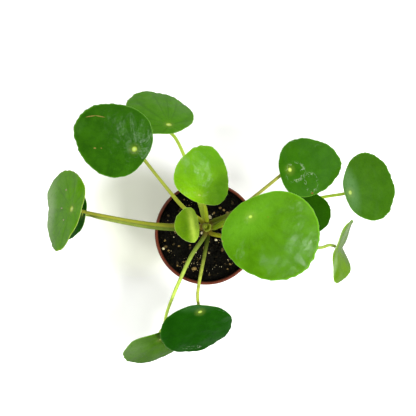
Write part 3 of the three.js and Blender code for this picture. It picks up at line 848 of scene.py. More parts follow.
def earth_material(settings):
    """Moist dark potting soil, nearly black, with paler fibres."""
    shader = Shader("moist_earth", {"Specular IOR Level": 0.15})
    place = shader.place()
    tone = shader.noise(place, 700, 4, 0.65)
    patches = shader.step(tone, 0.3, 0.75)
    colour = shader.mix(patches, shaded(settings.earth, 0.45), shaded(settings.earth, 1.1))
    fibres = shader.noise(shader.vector("MULTIPLY", place, (1, 5, 1)), 380, 2)
    colour = shader.tinted(colour, shader.step(fibres, 0.66, 0.74), 0.35, shaded(settings.tan_grit, 0.5))
    shader.set({"Base Color": colour, "Roughness": shader.math("ADD", shader.times(tone, 0.3), 0.6)})
    shader.bump(shader.noise(place, 1500, 5, 0.7), 0.5 * MM)
    return shader.material


def add_lump(bm, place, size, turn, flatness, subdivisions, roughness, draw):
    """Add one uneven lump, and return its points."""
    matrix = Matrix.Translation(place) @ turn @ Matrix.Diagonal((*flatness, 1))
    lump = bmesh.ops.create_icosphere(bm, subdivisions=subdivisions, radius=size, matrix=matrix)
    offset = Vector((draw(), draw(), draw())) * 50
    for vert in lump["verts"]:
        outwards = vert.co - place
        vert.co = place + outwards * (1 + roughness * noise.noise(outwards * 0.9 / size + offset))
    return lump["verts"]


def any_turn(draw):
    return Matrix.Rotation(math.pi * draw(), 4, "X") @ Matrix.Rotation(2 * math.pi * draw(), 4, "Z")


class PILEA_OT_add_soil(bpy.types.Operator):
    """Add the bed of soil with the hole that the stem stands in, and the crumbs on it"""

    bl_idname = "pilea.add_soil"
    bl_label = "Soil"

    def execute(self, context):
        settings = context.scene.pilea_soil
        earth = earth_material(settings)
        finish_piece(cut_away(soil_bed(), stem_hole()), "soil_bed", earth, "soil")
        draw = random.Random(CRUMB_SEED).random
        reach = collar_inner_radius() - CRUMB_CLEAR_OF_EDGE
        stem_here = stem_centre(SOIL_LEVEL)
        largest = settings.largest_crumb / MM
        crumbs = bmesh.new()
        for _ in range(settings.crumbs):
            distance = reach * math.sqrt(draw())
            angle = 2 * math.pi * draw()
            place = Vector((distance * math.cos(angle), distance * math.sin(angle), 0))
            size = mix(SMALLEST_CRUMB, largest, draw() ** 3)
            flatness = (1, mix(0.6, 1, draw()), mix(0.5, 0.9, draw()))
            turn = any_turn(draw)
            place.z = soil_height(place.x, place.y) + 0.3 * size
            if (place - stem_here).xy.length > STEM_FOOT_RADIUS + size:
                add_lump(crumbs, place, size, turn, flatness, 1, 0.5, draw)
        finish_piece(crumbs, "soil_crumbs", earth)
        return {"FINISHED"}


# The grains that stand out: place across the soil, half width, and whether pale
GRAINS = [
    ((3.4, 14.3), 1.8, True),
    ((-4.2, 0.1), 1.3, True),
    ((8.7, -6.1), 1.4, True),
    ((-38.2, -13.7), 1.6, True),
    ((12.4, 22.4), 1.5, False),
    ((15.6, 20.4), 1.3, False),
    ((18.6, 18.2), 1.4, False),
    ((6.9, 17.9), 1.1, False),
    ((-19.7, 29.8), 1.1, False),
    ((-15.3, 24.5), 0.9, False),
    ((-36.6, -6.6), 1.1, False),
    ((-24.2, -11.4), 1.0, False),
    ((-33.5, -15.4), 1.0, False),
    ((-20.2, -25.7), 1.1, False),
    ((-25.5, -28.8), 1.0, False),
    ((-10.8, -31.4), 2.4, False),
    ((21.1, -27.4), 1.1, False),
    ((18.9, -31.9), 0.9, False),
    ((-14.4, -10.6), 1.0, False),
]


def seeded_draw(seed):
    """A repeatable stream of numbers from 0 to 1, the same as the part's own."""
    state = seed
    while True:
        state = (state * 1664525 + 1013904223) % 2 ** 32
        yield state / 2 ** 32


def half_sunk_grains():
    """The part's own grains: place, half width, and the two turns of each."""
    draw = seeded_draw(GRIT_SEED)
    reach = collar_inner_radius() - GRIT_CLEAR_OF_EDGE
    stem_here = stem_centre(SOIL_LEVEL)
    grains = []
    while len(grains) < GRIT_COUNT:
        distance = reach * math.sqrt(next(draw))
        angle = 2 * math.pi * next(draw)
        x = distance * math.cos(angle)
        y = distance * math.sin(angle)
        size = mix(*GRIT_SIZE, next(draw) ** 2)
        roll = math.pi * next(draw)
        turn = 2 * math.pi * next(draw)
        if math.hypot(x - stem_here.x, y - stem_here.y) > STEM_FOOT_RADIUS + size + GRIT_CLEAR_OF_STEM:
            grains.append((Vector((x, y, soil_height(x, y))), size, roll, turn))
    return grains


def fine_grit():
    """Place, half width and paleness of the small bright grains, which lie in loose clusters."""
    draw = random.Random(FINE_GRIT_SEED)
    reach = collar_inner_radius() - GRIT_CLEAR_OF_EDGE
    grains = []
    for _ in range(FINE_GRIT_CLUSTERS):
        distance = reach * math.sqrt(draw.random())
        angle = 2 * math.pi * draw.random()
        for _ in range(FINE_GRIT_PER_CLUSTER):
            x = distance * math.cos(angle) + draw.gauss(0, FINE_GRIT_SPREAD)
            y = distance * math.sin(angle) + draw.gauss(0, FINE_GRIT_SPREAD)
            size = mix(*FINE_GRIT_SIZE, draw.random() ** 2)
            if math.hypot(x, y) < reach:
                place = Vector((x, y, soil_height(x, y) + FINE_GRIT_LIFT))
                grains.append((place, size, draw.random() ** 2))
    return grains


def grit_material():
    """Dull grains in the colour that each one is given, darker in patches."""
    shader = Shader("grit", {"Specular IOR Level": 0.4})
    place = shader.place()
    tint = shader.attribute("tint")["Color"]
    tone = shader.noise(place, 900, 4, 0.6)
    colour = shader.mix(shader.step(tone, 0.3, 0.7), tint, (0.6, 0.55, 0.46), "MULTIPLY")
    shader.set({"Base Color": colour, "Roughness": shader.math("ADD", shader.times(tone, 0.2), 0.65)})
    shader.bump(shader.noise(place, 2200, 3, 0.6), 0.2 * MM)
    return shader.material


class PILEA_OT_add_grit(bpy.types.Operator):
    """Add the grains of grit and bark in the soil"""

    bl_idname = "pilea.add_grit"
    bl_label = "Grit"

    def execute(self, context):
        settings = context.scene.pilea_soil
        bm = bmesh.new()
        tint = bm.verts.layers.float_color.new("tint")
        draw = random.Random(GRIT_SEED).random
        for place, size, roll, turn in half_sunk_grains():
            matrix = Matrix.Rotation(turn, 4, "Z") @ Matrix.Diagonal((*GRIT_FLATNESS, 1))
            matrix = matrix @ Matrix.Rotation(roll, 4, "X")
            colour = shaded(settings.tan_grit, mix(0.12, 0.55, draw()))
            for vert in add_lump(bm, place, size, matrix, (1, 1, 1), 2, 0.3, draw):
                vert[tint] = (*colour, 1)
        for (x, y), size, pale in GRAINS:
            place = Vector((x, y, soil_height(x, y) + 0.55 * size))
            colour = settings.pale_grit if pale else settings.tan_grit
            for vert in add_lump(bm, place, size, any_turn(draw), (1, 0.85, 0.7), 2, 0.5, draw):
                vert[tint] = (*colour, 1)
        for place, size, paleness in fine_grit():
            colour = Vector(settings.tan_grit).lerp(Vector(settings.pale_grit), paleness)
            for vert in add_lump(bm, place, size, any_turn(draw), (1, 0.8, 0.6), 1, 0.4, draw):
                vert[tint] = (*colour, 1)
        finish_piece(bm, "grit_grains", grit_material())
        return {"FINISHED"}


def bark_material(settings):
    """Rough bark, with the darker scars that old stalks left."""
    shader = Shader("bark", {"Specular IOR Level": 0.4})
    place = shader.place()
    tone = shader.noise(shader.vector("MULTIPLY", place, (1, 1, 0.35)), 900, 5, 0.65)
    patches = shader.step(tone, 0.3, 0.7)
    colour = shader.mix(patches, shaded(settings.bark, 0.55), shaded(settings.bark, 1.25))
    scar = shader.attribute("scar")["Fac"]
    colour = shader.mix(scar, colour, settings.scar)
    shader.set({"Base Color": colour, "Roughness": shader.math("ADD", shader.times(tone, 0.25), 0.55)})
    shader.bump(tone, 0.25 * MM)
    return shader.material


class PILEA_OT_add_stem(bpy.types.Operator):
    """Add the short woody stem with its ridges and leaf scars"""

    bl_idname = "pilea.add_stem"
    bl_label = "Stem"

    def execute(self, context):
        length = (STEM_TOP - STEM_FOOT).length
        profile = [(0, 0), (STEM_FOOT_RADIUS - STEM_ROUNDING, 0)]
        for ring in range(STEM_RINGS + 1):
            along = mix(STEM_ROUNDING, length - STEM_ROUNDING, ring / STEM_RINGS)
            ridge = SCAR_RELIEF * math.cos(2 * math.pi * along / SCAR_SPACING)
            profile.append((mix(STEM_FOOT_RADIUS, STEM_TOP_RADIUS, along / length) + ridge, along))
        profile += [(STEM_TOP_RADIUS - STEM_ROUNDING, length), (0, length)]
        bm = spun(profile, STEM_STEPS)
        scar = bm.verts.layers.float.new("scar")
        for vert in bm.verts:
            x, y, z = vert.co
            radius = math.hypot(x, y)
            if radius < 1:
                continue
            nearest = round(z / SCAR_SPACING)
            lift = z - nearest * SCAR_SPACING
            turn = math.remainder(math.atan2(y, x) - nearest * SCAR_TURN, 2 * math.pi)
            distance = math.hypot(lift / SCAR_HALF_HEIGHT, turn * radius / SCAR_HALF_WIDTH)
            vert[scar] = max(0, 1 - distance) ** 0.5 * 0.8
            bark = BARK_RELIEF * noise.noise(Vector((x, y, z * 0.5)) * 0.9)
            push = 1 + (bark + (SCAR_HOLLOW if distance < 1 else 0) * (distance - 0.6)) / radius
            vert.co.x *= push
            vert.co.y *= push
        lean_as_stem(bm, STEM_FOOT)
        finish_piece(bm, "stem_bark", bark_material(context.scene.pilea_crown), "stem")
        return {"FINISHED"}


def bud_material(settings):
    """Fresh yellow-green, browner where it meets the stem."""
    shader = Shader("young_green", {"Specular IOR Level": 0.5, "Roughness": 0.42})
    place = shader.place()
    z = shader.split(place)[2]
    tone = shader.noise(place, 500, 4, 0.6)
    colour = shader.mix(tone, shaded(settings.bud, 0.7), shaded(settings.bud, 1.3))
    foot = shader.step(z, (STEM_TOP.z + 2.6) * MM, STEM_TOP.z * MM)
    colour = shader.tinted(colour, foot, 0.7, shaded(settings.bark, 1.1))
    shader.set({"Base Color": colour})
    shader.bump(shader.noise(shader.vector("MULTIPLY", place, (1, 1, 0.3)), 1600, 3), 0.1 * MM)
    return shader.material


class PILEA_OT_add_growing_tip(bpy.types.Operator):
    """Add the pointed bud at the top of the stem and the sheath that half wraps it"""

    bl_idname = "pilea.add_growing_tip"
    bl_label = "Growing tip"

    def execute(self, context):
        green = bud_material(context.scene.pilea_crown)
        foot = STEM_TOP + STEM_AXIS * SEAT_GAP
        bud = spun(rounded([
            (0, 0),
            (TIP_BASE_RADIUS, 0),
            (TIP_BASE_RADIUS, TIP_EDGE_HEIGHT),
            (BUD_RADIUS, TIP_BASE_HEIGHT),
            (BUD_RADIUS, BUD_SHOULDER),
            (BUD_POINT_RADIUS, BUD_POINT_HEIGHT),
            (0, BUD_HEIGHT),
        ], TIP_EASING), TIP_STEPS)
        for vert in bud.verts:
            around = math.atan2(vert.co.y, vert.co.x)
            vert.co.xy *= 1 + BUD_OVAL * math.cos(2 * around + BUD_TWIST * vert.co.z)
        lean_as_stem(bud, foot)
        finish_piece(bud, "bud", green, "growing_tip")
        sheath = bmesh.new()
        bmesh.ops.create_grid(sheath, x_segments=SHEATH_GRID[0], y_segments=SHEATH_GRID[1], size=0.5)
        for vert in sheath.verts:
            across = vert.co.x
            up = vert.co.y + 0.5
            angle = math.radians(SHEATH_MIDDLE + SHEATH_SPAN * across * (1 - SHEATH_TAPER * up))
            radius = TIP_BASE_RADIUS - SHEATH_FOOT_SINK + SHEATH_FLARE * up
            height = SHEATH_FOOT_SINK + SHEATH_HEIGHT * up * (1 - SHEATH_SLOPE * across * across)
            vert.co = (radius * math.cos(angle), radius * math.sin(angle), height)
        lean_as_stem(sheath, foot)
        piece = finish_piece(sheath, "bud_sheath", green)
        wall = piece.modifiers.new("thickness", "SOLIDIFY")
        wall.thickness = context.scene.pilea_leaf.thickness
        wall.offset = 0
        soft = piece.modifiers.new("soft_edge", "SUBSURF")
        soft.levels = soft.render_levels = 1
        return {"FINISHED"}


# Stalks
def blade_turn(leaf):
    tilt, facing, turn = (math.radians(angle) for angle in leaf["slope"])
    return Matrix.Rotation(facing, 3, "Z") @ Matrix.Rotation(tilt, 3, "Y") @ Matrix.Rotation(turn, 3, "Z")


def stalk_points(leaf, thickness):
    """The points that a stalk passes, from the stem to the underside of its blade's hub."""
    height, compass = leaf["root"]
    outwards = Matrix.Rotation(math.radians(compass), 3, "Z") @ Vector((1, 0, 0))
    centre = stem_centre(height)
    root = centre + outwards * (stem_radius(height) + SCAR_RELIEF + SEAT_GAP)
    start = root + outwards * STALK_START + UP * STALK_START_RISE
    normal = blade_turn(leaf) @ UP
    end = Vector(leaf["hub"]) - normal * (thickness / 2 + HUB_DIMPLE + SEAT_GAP)
    knee = (end - normal * STALK_KNEE).lerp(Vector(leaf["via"][-1]), STALK_KNEE_EASE)
    return [root, start, *(Vector(point) for point in leaf["via"]), knee, end]


def smooth_curve(points, steps=24):
    """A centripetal Catmull-Rom curve through the points."""
    padded = [2 * points[0] - points[1], *points, 2 * points[-1] - points[-2]]
    curve = [points[0]]
    for before, start, finish, after in zip(padded, padded[1:], padded[2:], padded[3:]):
        gaps = [math.sqrt((b - a).length) for a, b in ((before, start), (start, finish), (finish, after))]
        leaving = (start - before) / gaps[0] - (finish - before) / (gaps[0] + gaps[1])
        leaving = (leaving + (finish - start) / gaps[1]) * gaps[1]
        arriving = (finish - start) / gaps[1] - (after - start) / (gaps[1] + gaps[2])
        arriving = (arriving + (after - finish) / gaps[2]) * gaps[1]
        for step in range(1, steps + 1):
            t = step / steps
            curve.append(
                start + leaving * t
                + (3 * (finish - start) - 2 * leaving - arriving) * t ** 2
                + (2 * (start - finish) + leaving + arriving) * t ** 3)
    return curve


class Route:
    """Places and directions along a curve, by the distance travelled."""

    def __init__(self, curve):
        self.curve = curve
        self.marks = [0.0]
        for before, after in zip(curve, curve[1:]):
            self.marks.append(self.marks[-1] + (after - before).length)
        self.length = self.marks[-1]

    def place(self, distance):
        """The point at a distance, going straight on past either end."""
        index = 1
        while index < len(self.marks) - 1 and self.marks[index] < distance:
            index += 1
        before, after = self.marks[index - 1], self.marks[index]
        share = (distance - before) / (after - before)
        return self.curve[index - 1].lerp(self.curve[index], share)

    def direction(self, distance, apart=0.4):
        return (self.place(distance + apart) - self.place(distance - apart)).normalized()


def stalk_radius(distance, length):
    """The stalk swells a little where it leaves the stem and where it meets the blade."""
    share = distance / length
    radius = mix(STALK_ROOT_RADIUS, STALK_END_RADIUS, min(1, max(0, share) / STALK_TAPER_SHARE))
    radius += ROOT_SWELL * math.exp(-((distance + ROOT_SWELL_BACK) / ROOT_SWELL_REACH) ** 2)
    radius += HUB_SWELL * math.exp(-((length + HUB_SWELL_ON - distance) / HUB_SWELL_REACH) ** 2)
    to_end = min(distance + STALK_ROOT_SINK, length + STALK_HUB_REACH - distance)
    if to_end < STALK_ROUNDING:
        radius *= math.sqrt(max(0, 1 - (1 - to_end / STALK_ROUNDING) ** 2))
    return radius


def stalk_shape(leaf, thickness):
    """A closed tube made from a sphere whose rings are strung along the stalk's route."""
    route = Route(smooth_curve(stalk_points(leaf, thickness)))
    chord = route.curve[-1] - route.curve[0]
    sideways = Vector((-chord.y, chord.x, 0)).normalized()
    rings = max(STALK_FEWEST_RINGS, int(route.length / STALK_RING_SPACING))
    bm = bmesh.new()
    along = bm.verts.layers.float.new("along")
    bmesh.ops.create_uvsphere(bm, u_segments=STALK_SIDES, v_segments=rings, radius=1)
    for vert in bm.verts:
        around = math.atan2(vert.co.y, vert.co.x)
        share = math.acos(max(-1, min(1, vert.co.z))) / math.pi
        pole = share < 1e-5 or share > 1 - 1e-5
        eased = share - STALK_RING_CROWDING * math.sin(2 * math.pi * share)
        distance = mix(-STALK_ROOT_SINK, route.length + STALK_HUB_REACH, eased)
        forwards = route.direction(distance)
        upwards = forwards.cross(sideways).normalized()
        across = upwards.cross(forwards)
        radius = 0 if pole else stalk_radius(distance, route.length)
        twist = 1.5 * noise.noise(Vector((distance * 0.05, 0, leaf["size"][0])))
        radius *= 1 + STALK_RIDGES * math.cos(3 * around + twist)
        vert.co = route.place(distance) + (across * math.cos(around) + upwards * math.sin(around)) * radius
        vert[along] = min(1, max(0, distance / route.length))
    bmesh.ops.recalc_face_normals(bm, faces=bm.faces)
    return bm


def stalk_material(name, root_colour, outer_colour):
    """Fleshy stalk, duller and browner at its root, with faint speckles."""
    shader = Shader(name, {"Specular IOR Level": 0.15})
    place = shader.place()
    along = shader.attribute("along")["Fac"]
    tone = shader.noise(place, 260, 4, 0.6)
    colour = shader.mix(shader.step(along, 0.02, 0.75), root_colour, outer_colour)
    colour = shader.tinted(colour, shader.step(tone, 0.35, 0.75), 0.45, shaded(root_colour, 1.1))
    colour = shader.tinted(colour, shader.step(along, 0.07, 0.0), 0.6, rgb(ROOT_BROWN))
    specks = shader.step(shader.noise(place, 1500, 2), 0.66, 0.74)
    colour = shader.tinted(colour, specks, 0.25, shaded(root_colour, 0.6))
    shader.set({"Base Color": colour, "Roughness": shader.math("ADD", shader.times(tone, 0.15), 0.36)})
    shader.bump(shader.noise(place, 1300, 3), 0.06 * MM)
    return shader.material


class PILEA_OT_add_stalks(bpy.types.Operator):
    """Add the long stalk of every leaf"""

    bl_idname = "pilea.add_stalks"
    bl_label = "Stalks"

    def execute(self, context):
        thickness = context.scene.pilea_leaf.thickness / MM
        for number, leaf in enumerate(LEAVES, 1):
            green = stalk_material(f"stalk_{number:02}_green", *(rgb(colour) for colour in leaf["stalk"]))
            piece_name = f"fine_stalk_{number:02}"
            finish_piece(stalk_shape(leaf, thickness), piece_name, green, f"stalk_{number:02}")
        return {"FINISHED"}


# Blades
def soft_rise(distance):
    """Rise from nothing before 0 to a straight slope after it, with a soft corner between."""
    return (math.hypot(distance, BEND_SOFTNESS) + distance) / 2


def blade_point(leaf, s, t, phase):
    """A point of the blade's middle sheet, for a place (s, t) in a disc of radius 1 about the hub."""
    reach = math.hypot(s, t)
    angle = math.atan2(t, s)
    half_length = leaf["size"][0] / 2
    half_width = leaf["size"][1] / 2
    inset = leaf["inset"]
    bulge, bulge_angle = leaf["corners"]
    outline = 1 + bulge * math.cos(3 * (angle - math.radians(bulge_angle)))
    x = half_length * (reach * inset + outline * s)
    y = half_width * outline * t
    along = x / (half_length * (1 + inset))
    across = y / half_width
    tip_sag, side_sag = leaf["sag"]
    wave = EDGE_WAVE_HEIGHT * reach ** 3 * math.sin(EDGE_WAVES * angle + phase)
    dimple = HUB_DIMPLE * max(0, 1 - reach / HUB_REACH) ** 2
    left_flare, right_flare = leaf.get("flare", (0, 0))
    flare = (left_flare if y > 0 else right_flare) * along * abs(y) * (FLARE_EASE - across * across)
    fold = leaf.get("fold", 0) * (math.hypot(across, FOLD_SOFTNESS) - FOLD_SOFTNESS)
    crease, steepness = leaf.get("bend", (0, 0))
    bend = steepness * (soft_rise(x - crease) - soft_rise(-crease))
    z = fold + flare + wave - dimple - bend - tip_sag * along * along - side_sag * across * across
    return Vector((x, y, z))


def rib_angle(angle, reach, phase):
    """Bends the even fan of ribs, so that they part unevenly and lean to the blade's tip."""
    broad, narrow = RIB_UNEVENNESS
    uneven = broad * math.sin(2 * angle + phase) + narrow * math.sin(3 * angle + 2.3 * phase)
    return angle + uneven + RIB_LEAN * reach * reach * math.sin(angle)


def scallops(angle, reach, phase):
    """Small uneven teeth along the margin, as a share of the blade's size."""
    around = Vector((math.cos(angle), math.sin(angle), 0)) * MARGIN_NOISE + Vector((0, 0, 3.1 * phase))
    return MARGIN_TEETH * noise.noise(around) * max(0, (reach - MARGIN_START) / (1 - MARGIN_START))


def blade_relief(x, y, rib, depth, reach, settings, phase):
    """Height of the grooves over the ribs and of the gentle quilting between them."""
    fade = min(1, reach / RELIEF_START) * min(1, (1 - reach) / RELIEF_END)
    groove = -depth * max(0, rib) ** RIB_SHARPNESS * fade
    place = Vector((x, y, 9.7 * phase))
    quilt = settings.quilting / MM * noise.noise(place * QUILT_SCALE) * min(1, reach / HUB_REACH)
    ripple = RIPPLE_SHARE * settings.quilting / MM * noise.noise(place * RIPPLE_SCALE)
    crinkle = CRINKLE_SHARE * settings.quilting / MM * noise.noise(place * CRINKLE_SCALE)
    return groove + quilt + (ripple + crinkle) * fade


def blade_shape(leaf, phase, settings):
    """A blade made from a sphere: the upper half is its top face, the lower half its underside.

    The phase makes the waves and the unevenness of each blade its own.
    """
    bm = bmesh.new()
    flat = bm.verts.layers.float_vector.new("flat")
    ribs = bm.verts.layers.float_vector.new("ribs")
    bmesh.ops.create_uvsphere(bm, u_segments=LEAF_SEGMENTS, v_segments=2 * LEAF_RINGS, radius=1)
    half_thickness = settings.thickness / MM / 2
    hub = Vector(leaf["hub"])
    turn = blade_turn(leaf)
    nudge = 0.004
    for vert in bm.verts:
        x, y, z = vert.co
        angle = math.atan2(y, x)
        polar = math.atan2(math.hypot(x, y), abs(z)) / QUARTER
        reach = 0.5 * polar + 0.5 * math.sin(QUARTER * polar)
        s = reach * math.cos(angle)
        t = reach * math.sin(angle)
        side = 0 if abs(z) < 1e-5 else math.copysign(1, z)
        point = blade_point(leaf, s, t, phase)
        point.xy *= 1 + scallops(angle, reach, phase)
        lengthways = blade_point(leaf, s + nudge, t, phase) - blade_point(leaf, s - nudge, t, phase)
        crossways = blade_point(leaf, s, t + nudge, phase) - blade_point(leaf, s, t - nudge, phase)
        normal = lengthways.cross(crossways).normalized()
        to_rim = max(0, (reach - 1 + RIM_ROUNDING) / RIM_ROUNDING)
        thickness = half_thickness * math.sqrt(max(0, 1 - to_rim * to_rim))
        rib = rib_angle(angle, reach, phase) * settings.ribs
        vert[flat] = (point.x, point.y, side)
        vert[ribs] = (math.cos(rib), math.sin(rib), reach)
        depth = settings.rib_depth / MM * leaf["ribs"]
        relief = blade_relief(point.x, point.y, math.cos(rib), depth, reach, settings, phase)
        vert.co = hub + turn @ (point + normal * (side * thickness + relief))
    bmesh.ops.recalc_face_normals(bm, faces=bm.faces)
    return bm


class BladeShader(Shader):
    """A leaf's material, with the patterns that its colour, gloss and relief share."""

    def __init__(self, number, leaf):
        shine = leaf.get("shine", USUAL_SHINE)
        super().__init__(f"leaf_{number:02}_green", {"Specular IOR Level": shine, "IOR": LEAF_IOR})
        place = self.attribute("flat")["Vector"]
        self.x, _, side = self.split(place)
        self.rib, _, self.reach = self.split(self.attribute("ribs")["Vector"])
        self.seen_from_above = self.step(side, -0.1, 0.5)
        self.on_blade = self.vector("MULTIPLY", place, (1, 1, 0))
        self.hub_distance = self.vector("LENGTH", self.on_blade)
        flat_place = self.vector("ADD", self.on_blade, (0, 0, 13.0 * number))
        self.blotches = self.noise(flat_place, 0.11, 4, 0.6)
        self.cells = self.noise(flat_place, 0.9, 3, 0.6)
        self.grain = self.noise(flat_place, 2.6, 2, 0.6)
        spread = self.vector("SCALE", self.vector("NORMALIZE", self.on_blade), Scale=5)
        fan = self.vector("ADD", spread, self.vector("SCALE", flat_place, Scale=0.03))
        self.rays = self.noise(fan, 1, 3, 0.6)
        self.net = self.step(self.cracks(flat_place, 0.32), 0.06, 0.0)

    def top_colour(self, leaf, dot_colour):
        """Mottled green with darker ribs, a pale dot over the stalk and a margin of its own colour."""
        top, deep, edge = (rgb(colour) for colour in leaf["colours"])
        colour = self.mix(self.step(self.blotches, 0.32, 0.68), deep, top)
        # Painted light: a paler colour over the blade up to the crease, on the face that catches the light.
        if "young" in leaf:
            colour = self.mix(self.step(self.x, PAINTED_LIGHT_END, PAINTED_LIGHT_FULL), colour, rgb(leaf["young"]))
        colour = self.tinted(colour, self.step(self.cells, 0.4, 0.7), 0.32, shaded(top, 1.25))
        colour = self.tinted(colour, self.step(self.grain, 0.35, 0.65), 0.26, shaded(deep, 0.75))
        colour = self.tinted(colour, self.step(self.rays, 0.5, 0.7), 0.22, shaded(deep, 0.8))
        fade_in = self.step(self.reach, 0.05, 0.2)
        fade_out = self.step(self.reach, 0.98, 0.7)
        ribbed = self.times(self.step(self.rib, 0.65, 1.0), fade_in, fade_out)
        colour = self.tinted(colour, ribbed, leaf["ribs"], shaded(deep, 0.75))
        colour = self.tinted(colour, self.net, 0.08, shaded(top, 1.35))
        colour = self.dotted(colour, leaf["dot"], dot_colour)
        return self.tinted(colour, self.step(self.reach, 0.96, 0.985), 0.9, edge)

    def dotted(self, colour, dot, tint):
        """Add the dot over the stalk, whiter in its middle and with a faint glow round it."""
        colour = self.tinted(colour, self.step(self.hub_distance, 6.5, 1.2), 0.3, shaded(tint, 0.5))
        colour = self.mix(self.step(self.hub_distance, 2 * dot, dot), colour, tint)
        middle = self.step(self.hub_distance, 1.1 * dot, 0.4 * dot)
        return self.tinted(colour, middle, 0.25 * dot * dot, DOT_MIDDLE)

    def marked(self, base, kind, centre, half_size, turn, colour, strength):
        """Paint a spot, a streak, a ring, or a soft patch of painted sheen and shade on the top of the blade.
        """
        moved = self.vector("SUBTRACT", self.on_blade, (*centre, 0))
        turned = self.node(
            "ShaderNodeVectorRotate", {"Vector": moved, "Angle": math.radians(-turn)}, rotation_type="Z_AXIS")
        scaled = self.vector("MULTIPLY", turned.outputs[0], (1 / half_size[0], 1 / half_size[1], 0))
        distance = self.vector("LENGTH", scaled)
        ragged = self.noise(self.on_blade, 0.3, 4, 0.6)
        sway = 2.2 if kind == "ring" else 0.6
        distance = self.math("ADD", distance, self.times(self.math("SUBTRACT", ragged, 0.5), sway))
        if kind == "ring":
            off_line = self.math("ABSOLUTE", self.math("SUBTRACT", distance, 1))
            broken = self.step(self.noise(self.on_blade, 0.3, 2), 0.45, 0.6)
            mask = self.times(self.step(off_line, 0.12, 0.02), broken)
        # A soft patch of painted sheen and shade.
        elif kind == "painted_sheen_and_shade":
            mask = self.step(distance, 1.2, 0.2)
        else:
            mask = self.step(distance, 1.1, 0.7)
        patchy = self.step(ragged, 0.2, 0.5)
        return self.tinted(base, self.times(mask, patchy), strength, rgb(colour))

    def underside_colour(self, base, dot_colour):
        """Pale green with paler ribs, and a dot where the stalk meets it."""
        colour = self.mix(self.blotches, shaded(base, 0.8), shaded(base, 1.1))
        colour = self.tinted(colour, self.step(self.rib, 0.85, 1.0), 0.5, shaded(base, 1.4))
        return self.mix(self.step(self.hub_distance, 3.4, 1.6), colour, dot_colour)

    def roughness(self):
        gloss = self.math("ADD", self.times(self.cells, 0.08), 0.07)
        gloss = self.math("ADD", gloss, self.times(self.blotches, 0.09))
        smoother = self.times(self.seen_from_above, self.math("SUBTRACT", UNDERSIDE_ROUGHNESS, gloss))
        return self.math("SUBTRACT", UNDERSIDE_ROUGHNESS, smoother)

    def relief(self):
        fine = self.math("ADD", self.times(self.grain, 0.16), self.times(self.net, -0.1))
        swirls = self.math("ADD", self.times(self.hub_distance, 2.2), self.times(self.blotches, 8))
        arcs = self.times(self.math("SINE", swirls), 0.03)
        return self.math("ADD", self.math("ADD", self.times(self.rays, 0.7), arcs), fine)


def blade_material(number, leaf, settings):
    """A satin leaf: mottled and ribbed, with its own marks, and a paler, duller underside."""
    shader = BladeShader(number, leaf)
    colour = shader.top_colour(leaf, settings.dot)
    for mark in MARKS.get(number, []):
        colour = shader.marked(colour, *mark)
    under = shader.underside_colour(settings.underside, settings.dot)
    colour = shader.mix(shader.seen_from_above, under, colour)
    shader.set({"Base Color": colour, "Roughness": shader.roughness()})
    shader.bump(shader.relief(), LEAF_BUMP * MM)
    return shader.material


class PILEA_OT_add_leaves(bpy.types.Operator):
    """Add the round blade of every leaf"""

    bl_idname = "pilea.add_leaves"
    bl_label = "Leaves"

    def execute(self, context):
        settings = context.scene.pilea_leaf
        for number, leaf in enumerate(LEAVES, 1):
            blade = blade_shape(leaf, number - 1, settings)
            green = blade_material(number, leaf, settings)
            finish_piece(blade, f"fine_leaf_{number:02}", green, f"leaf_{number:02}")
        return {"FINISHED"}


# Stage
def add_lamp(name, compass, height, power, width, mirrored, settings):
    """A round soft lamp, from a compass way and a height in degrees, that may show mirrored in the blades."""
    light = bpy.data.lights.new(name, "AREA")
    light.shape = "DISK"
    light.size = width
    light.energy = power
    lamp = bpy.data.objects.new(name, light)
    way = Matrix.Rotation(math.radians(compass), 3, "Z") @ Matrix.Rotation(math.radians(-height), 3, "Y")
    way = way @ Vector((1, 0, 0))
    lamp.location = LAMP_AIM + way * settings.lamp_distance
    lamp.visible_glossy = mirrored
    lamp.rotation_euler = way.to_track_quat("Z", "Y").to_euler()
    bpy.context.collection.objects.link(lamp)


def add_surroundings(sky):
    """Even light from all round, dimmer where it is mirrored, and plain white to the camera."""
    world = bpy.data.worlds.new("surroundings")
    world.use_nodes = True
    wiring = Wiring(world.node_tree)
    x, y, z = wiring.split(wiring.node("ShaderNodeTexCoord", {}).outputs["Generated"])
    right = wiring.math("MAXIMUM", x, 0)
    band = wiring.times(wiring.step(z, 0.12, 0.3), wiring.step(z, 0.65, 0.4), right, right, MIRRORED_RIGHT)
    left = wiring.times(wiring.math("MAXIMUM", wiring.times(x, -1), 0), MIRRORED_LEFT)
    side = wiring.math("ADD", wiring.math("ADD", wiring.times(y, MIRRORED_REAR), MIRRORED_LOW), left)
    low = wiring.times(wiring.step(z, 0.1, -0.05), wiring.math("MAXIMUM", side, 0))
    mirrored = wiring.math("ADD", wiring.math("ADD", band, low), MIRRORED_REST)
    path = wiring.node("ShaderNodeLightPath", {}).outputs
    tone = wiring.mix(path["Is Glossy Ray"], (sky, sky, sky), mirrored)
    tone = wiring.mix(path["Is Camera Ray"], tone, (1, 1, 1))
    wiring.feed(wiring.tree.nodes["Background"].inputs["Color"], tone)
    bpy.context.scene.world = world


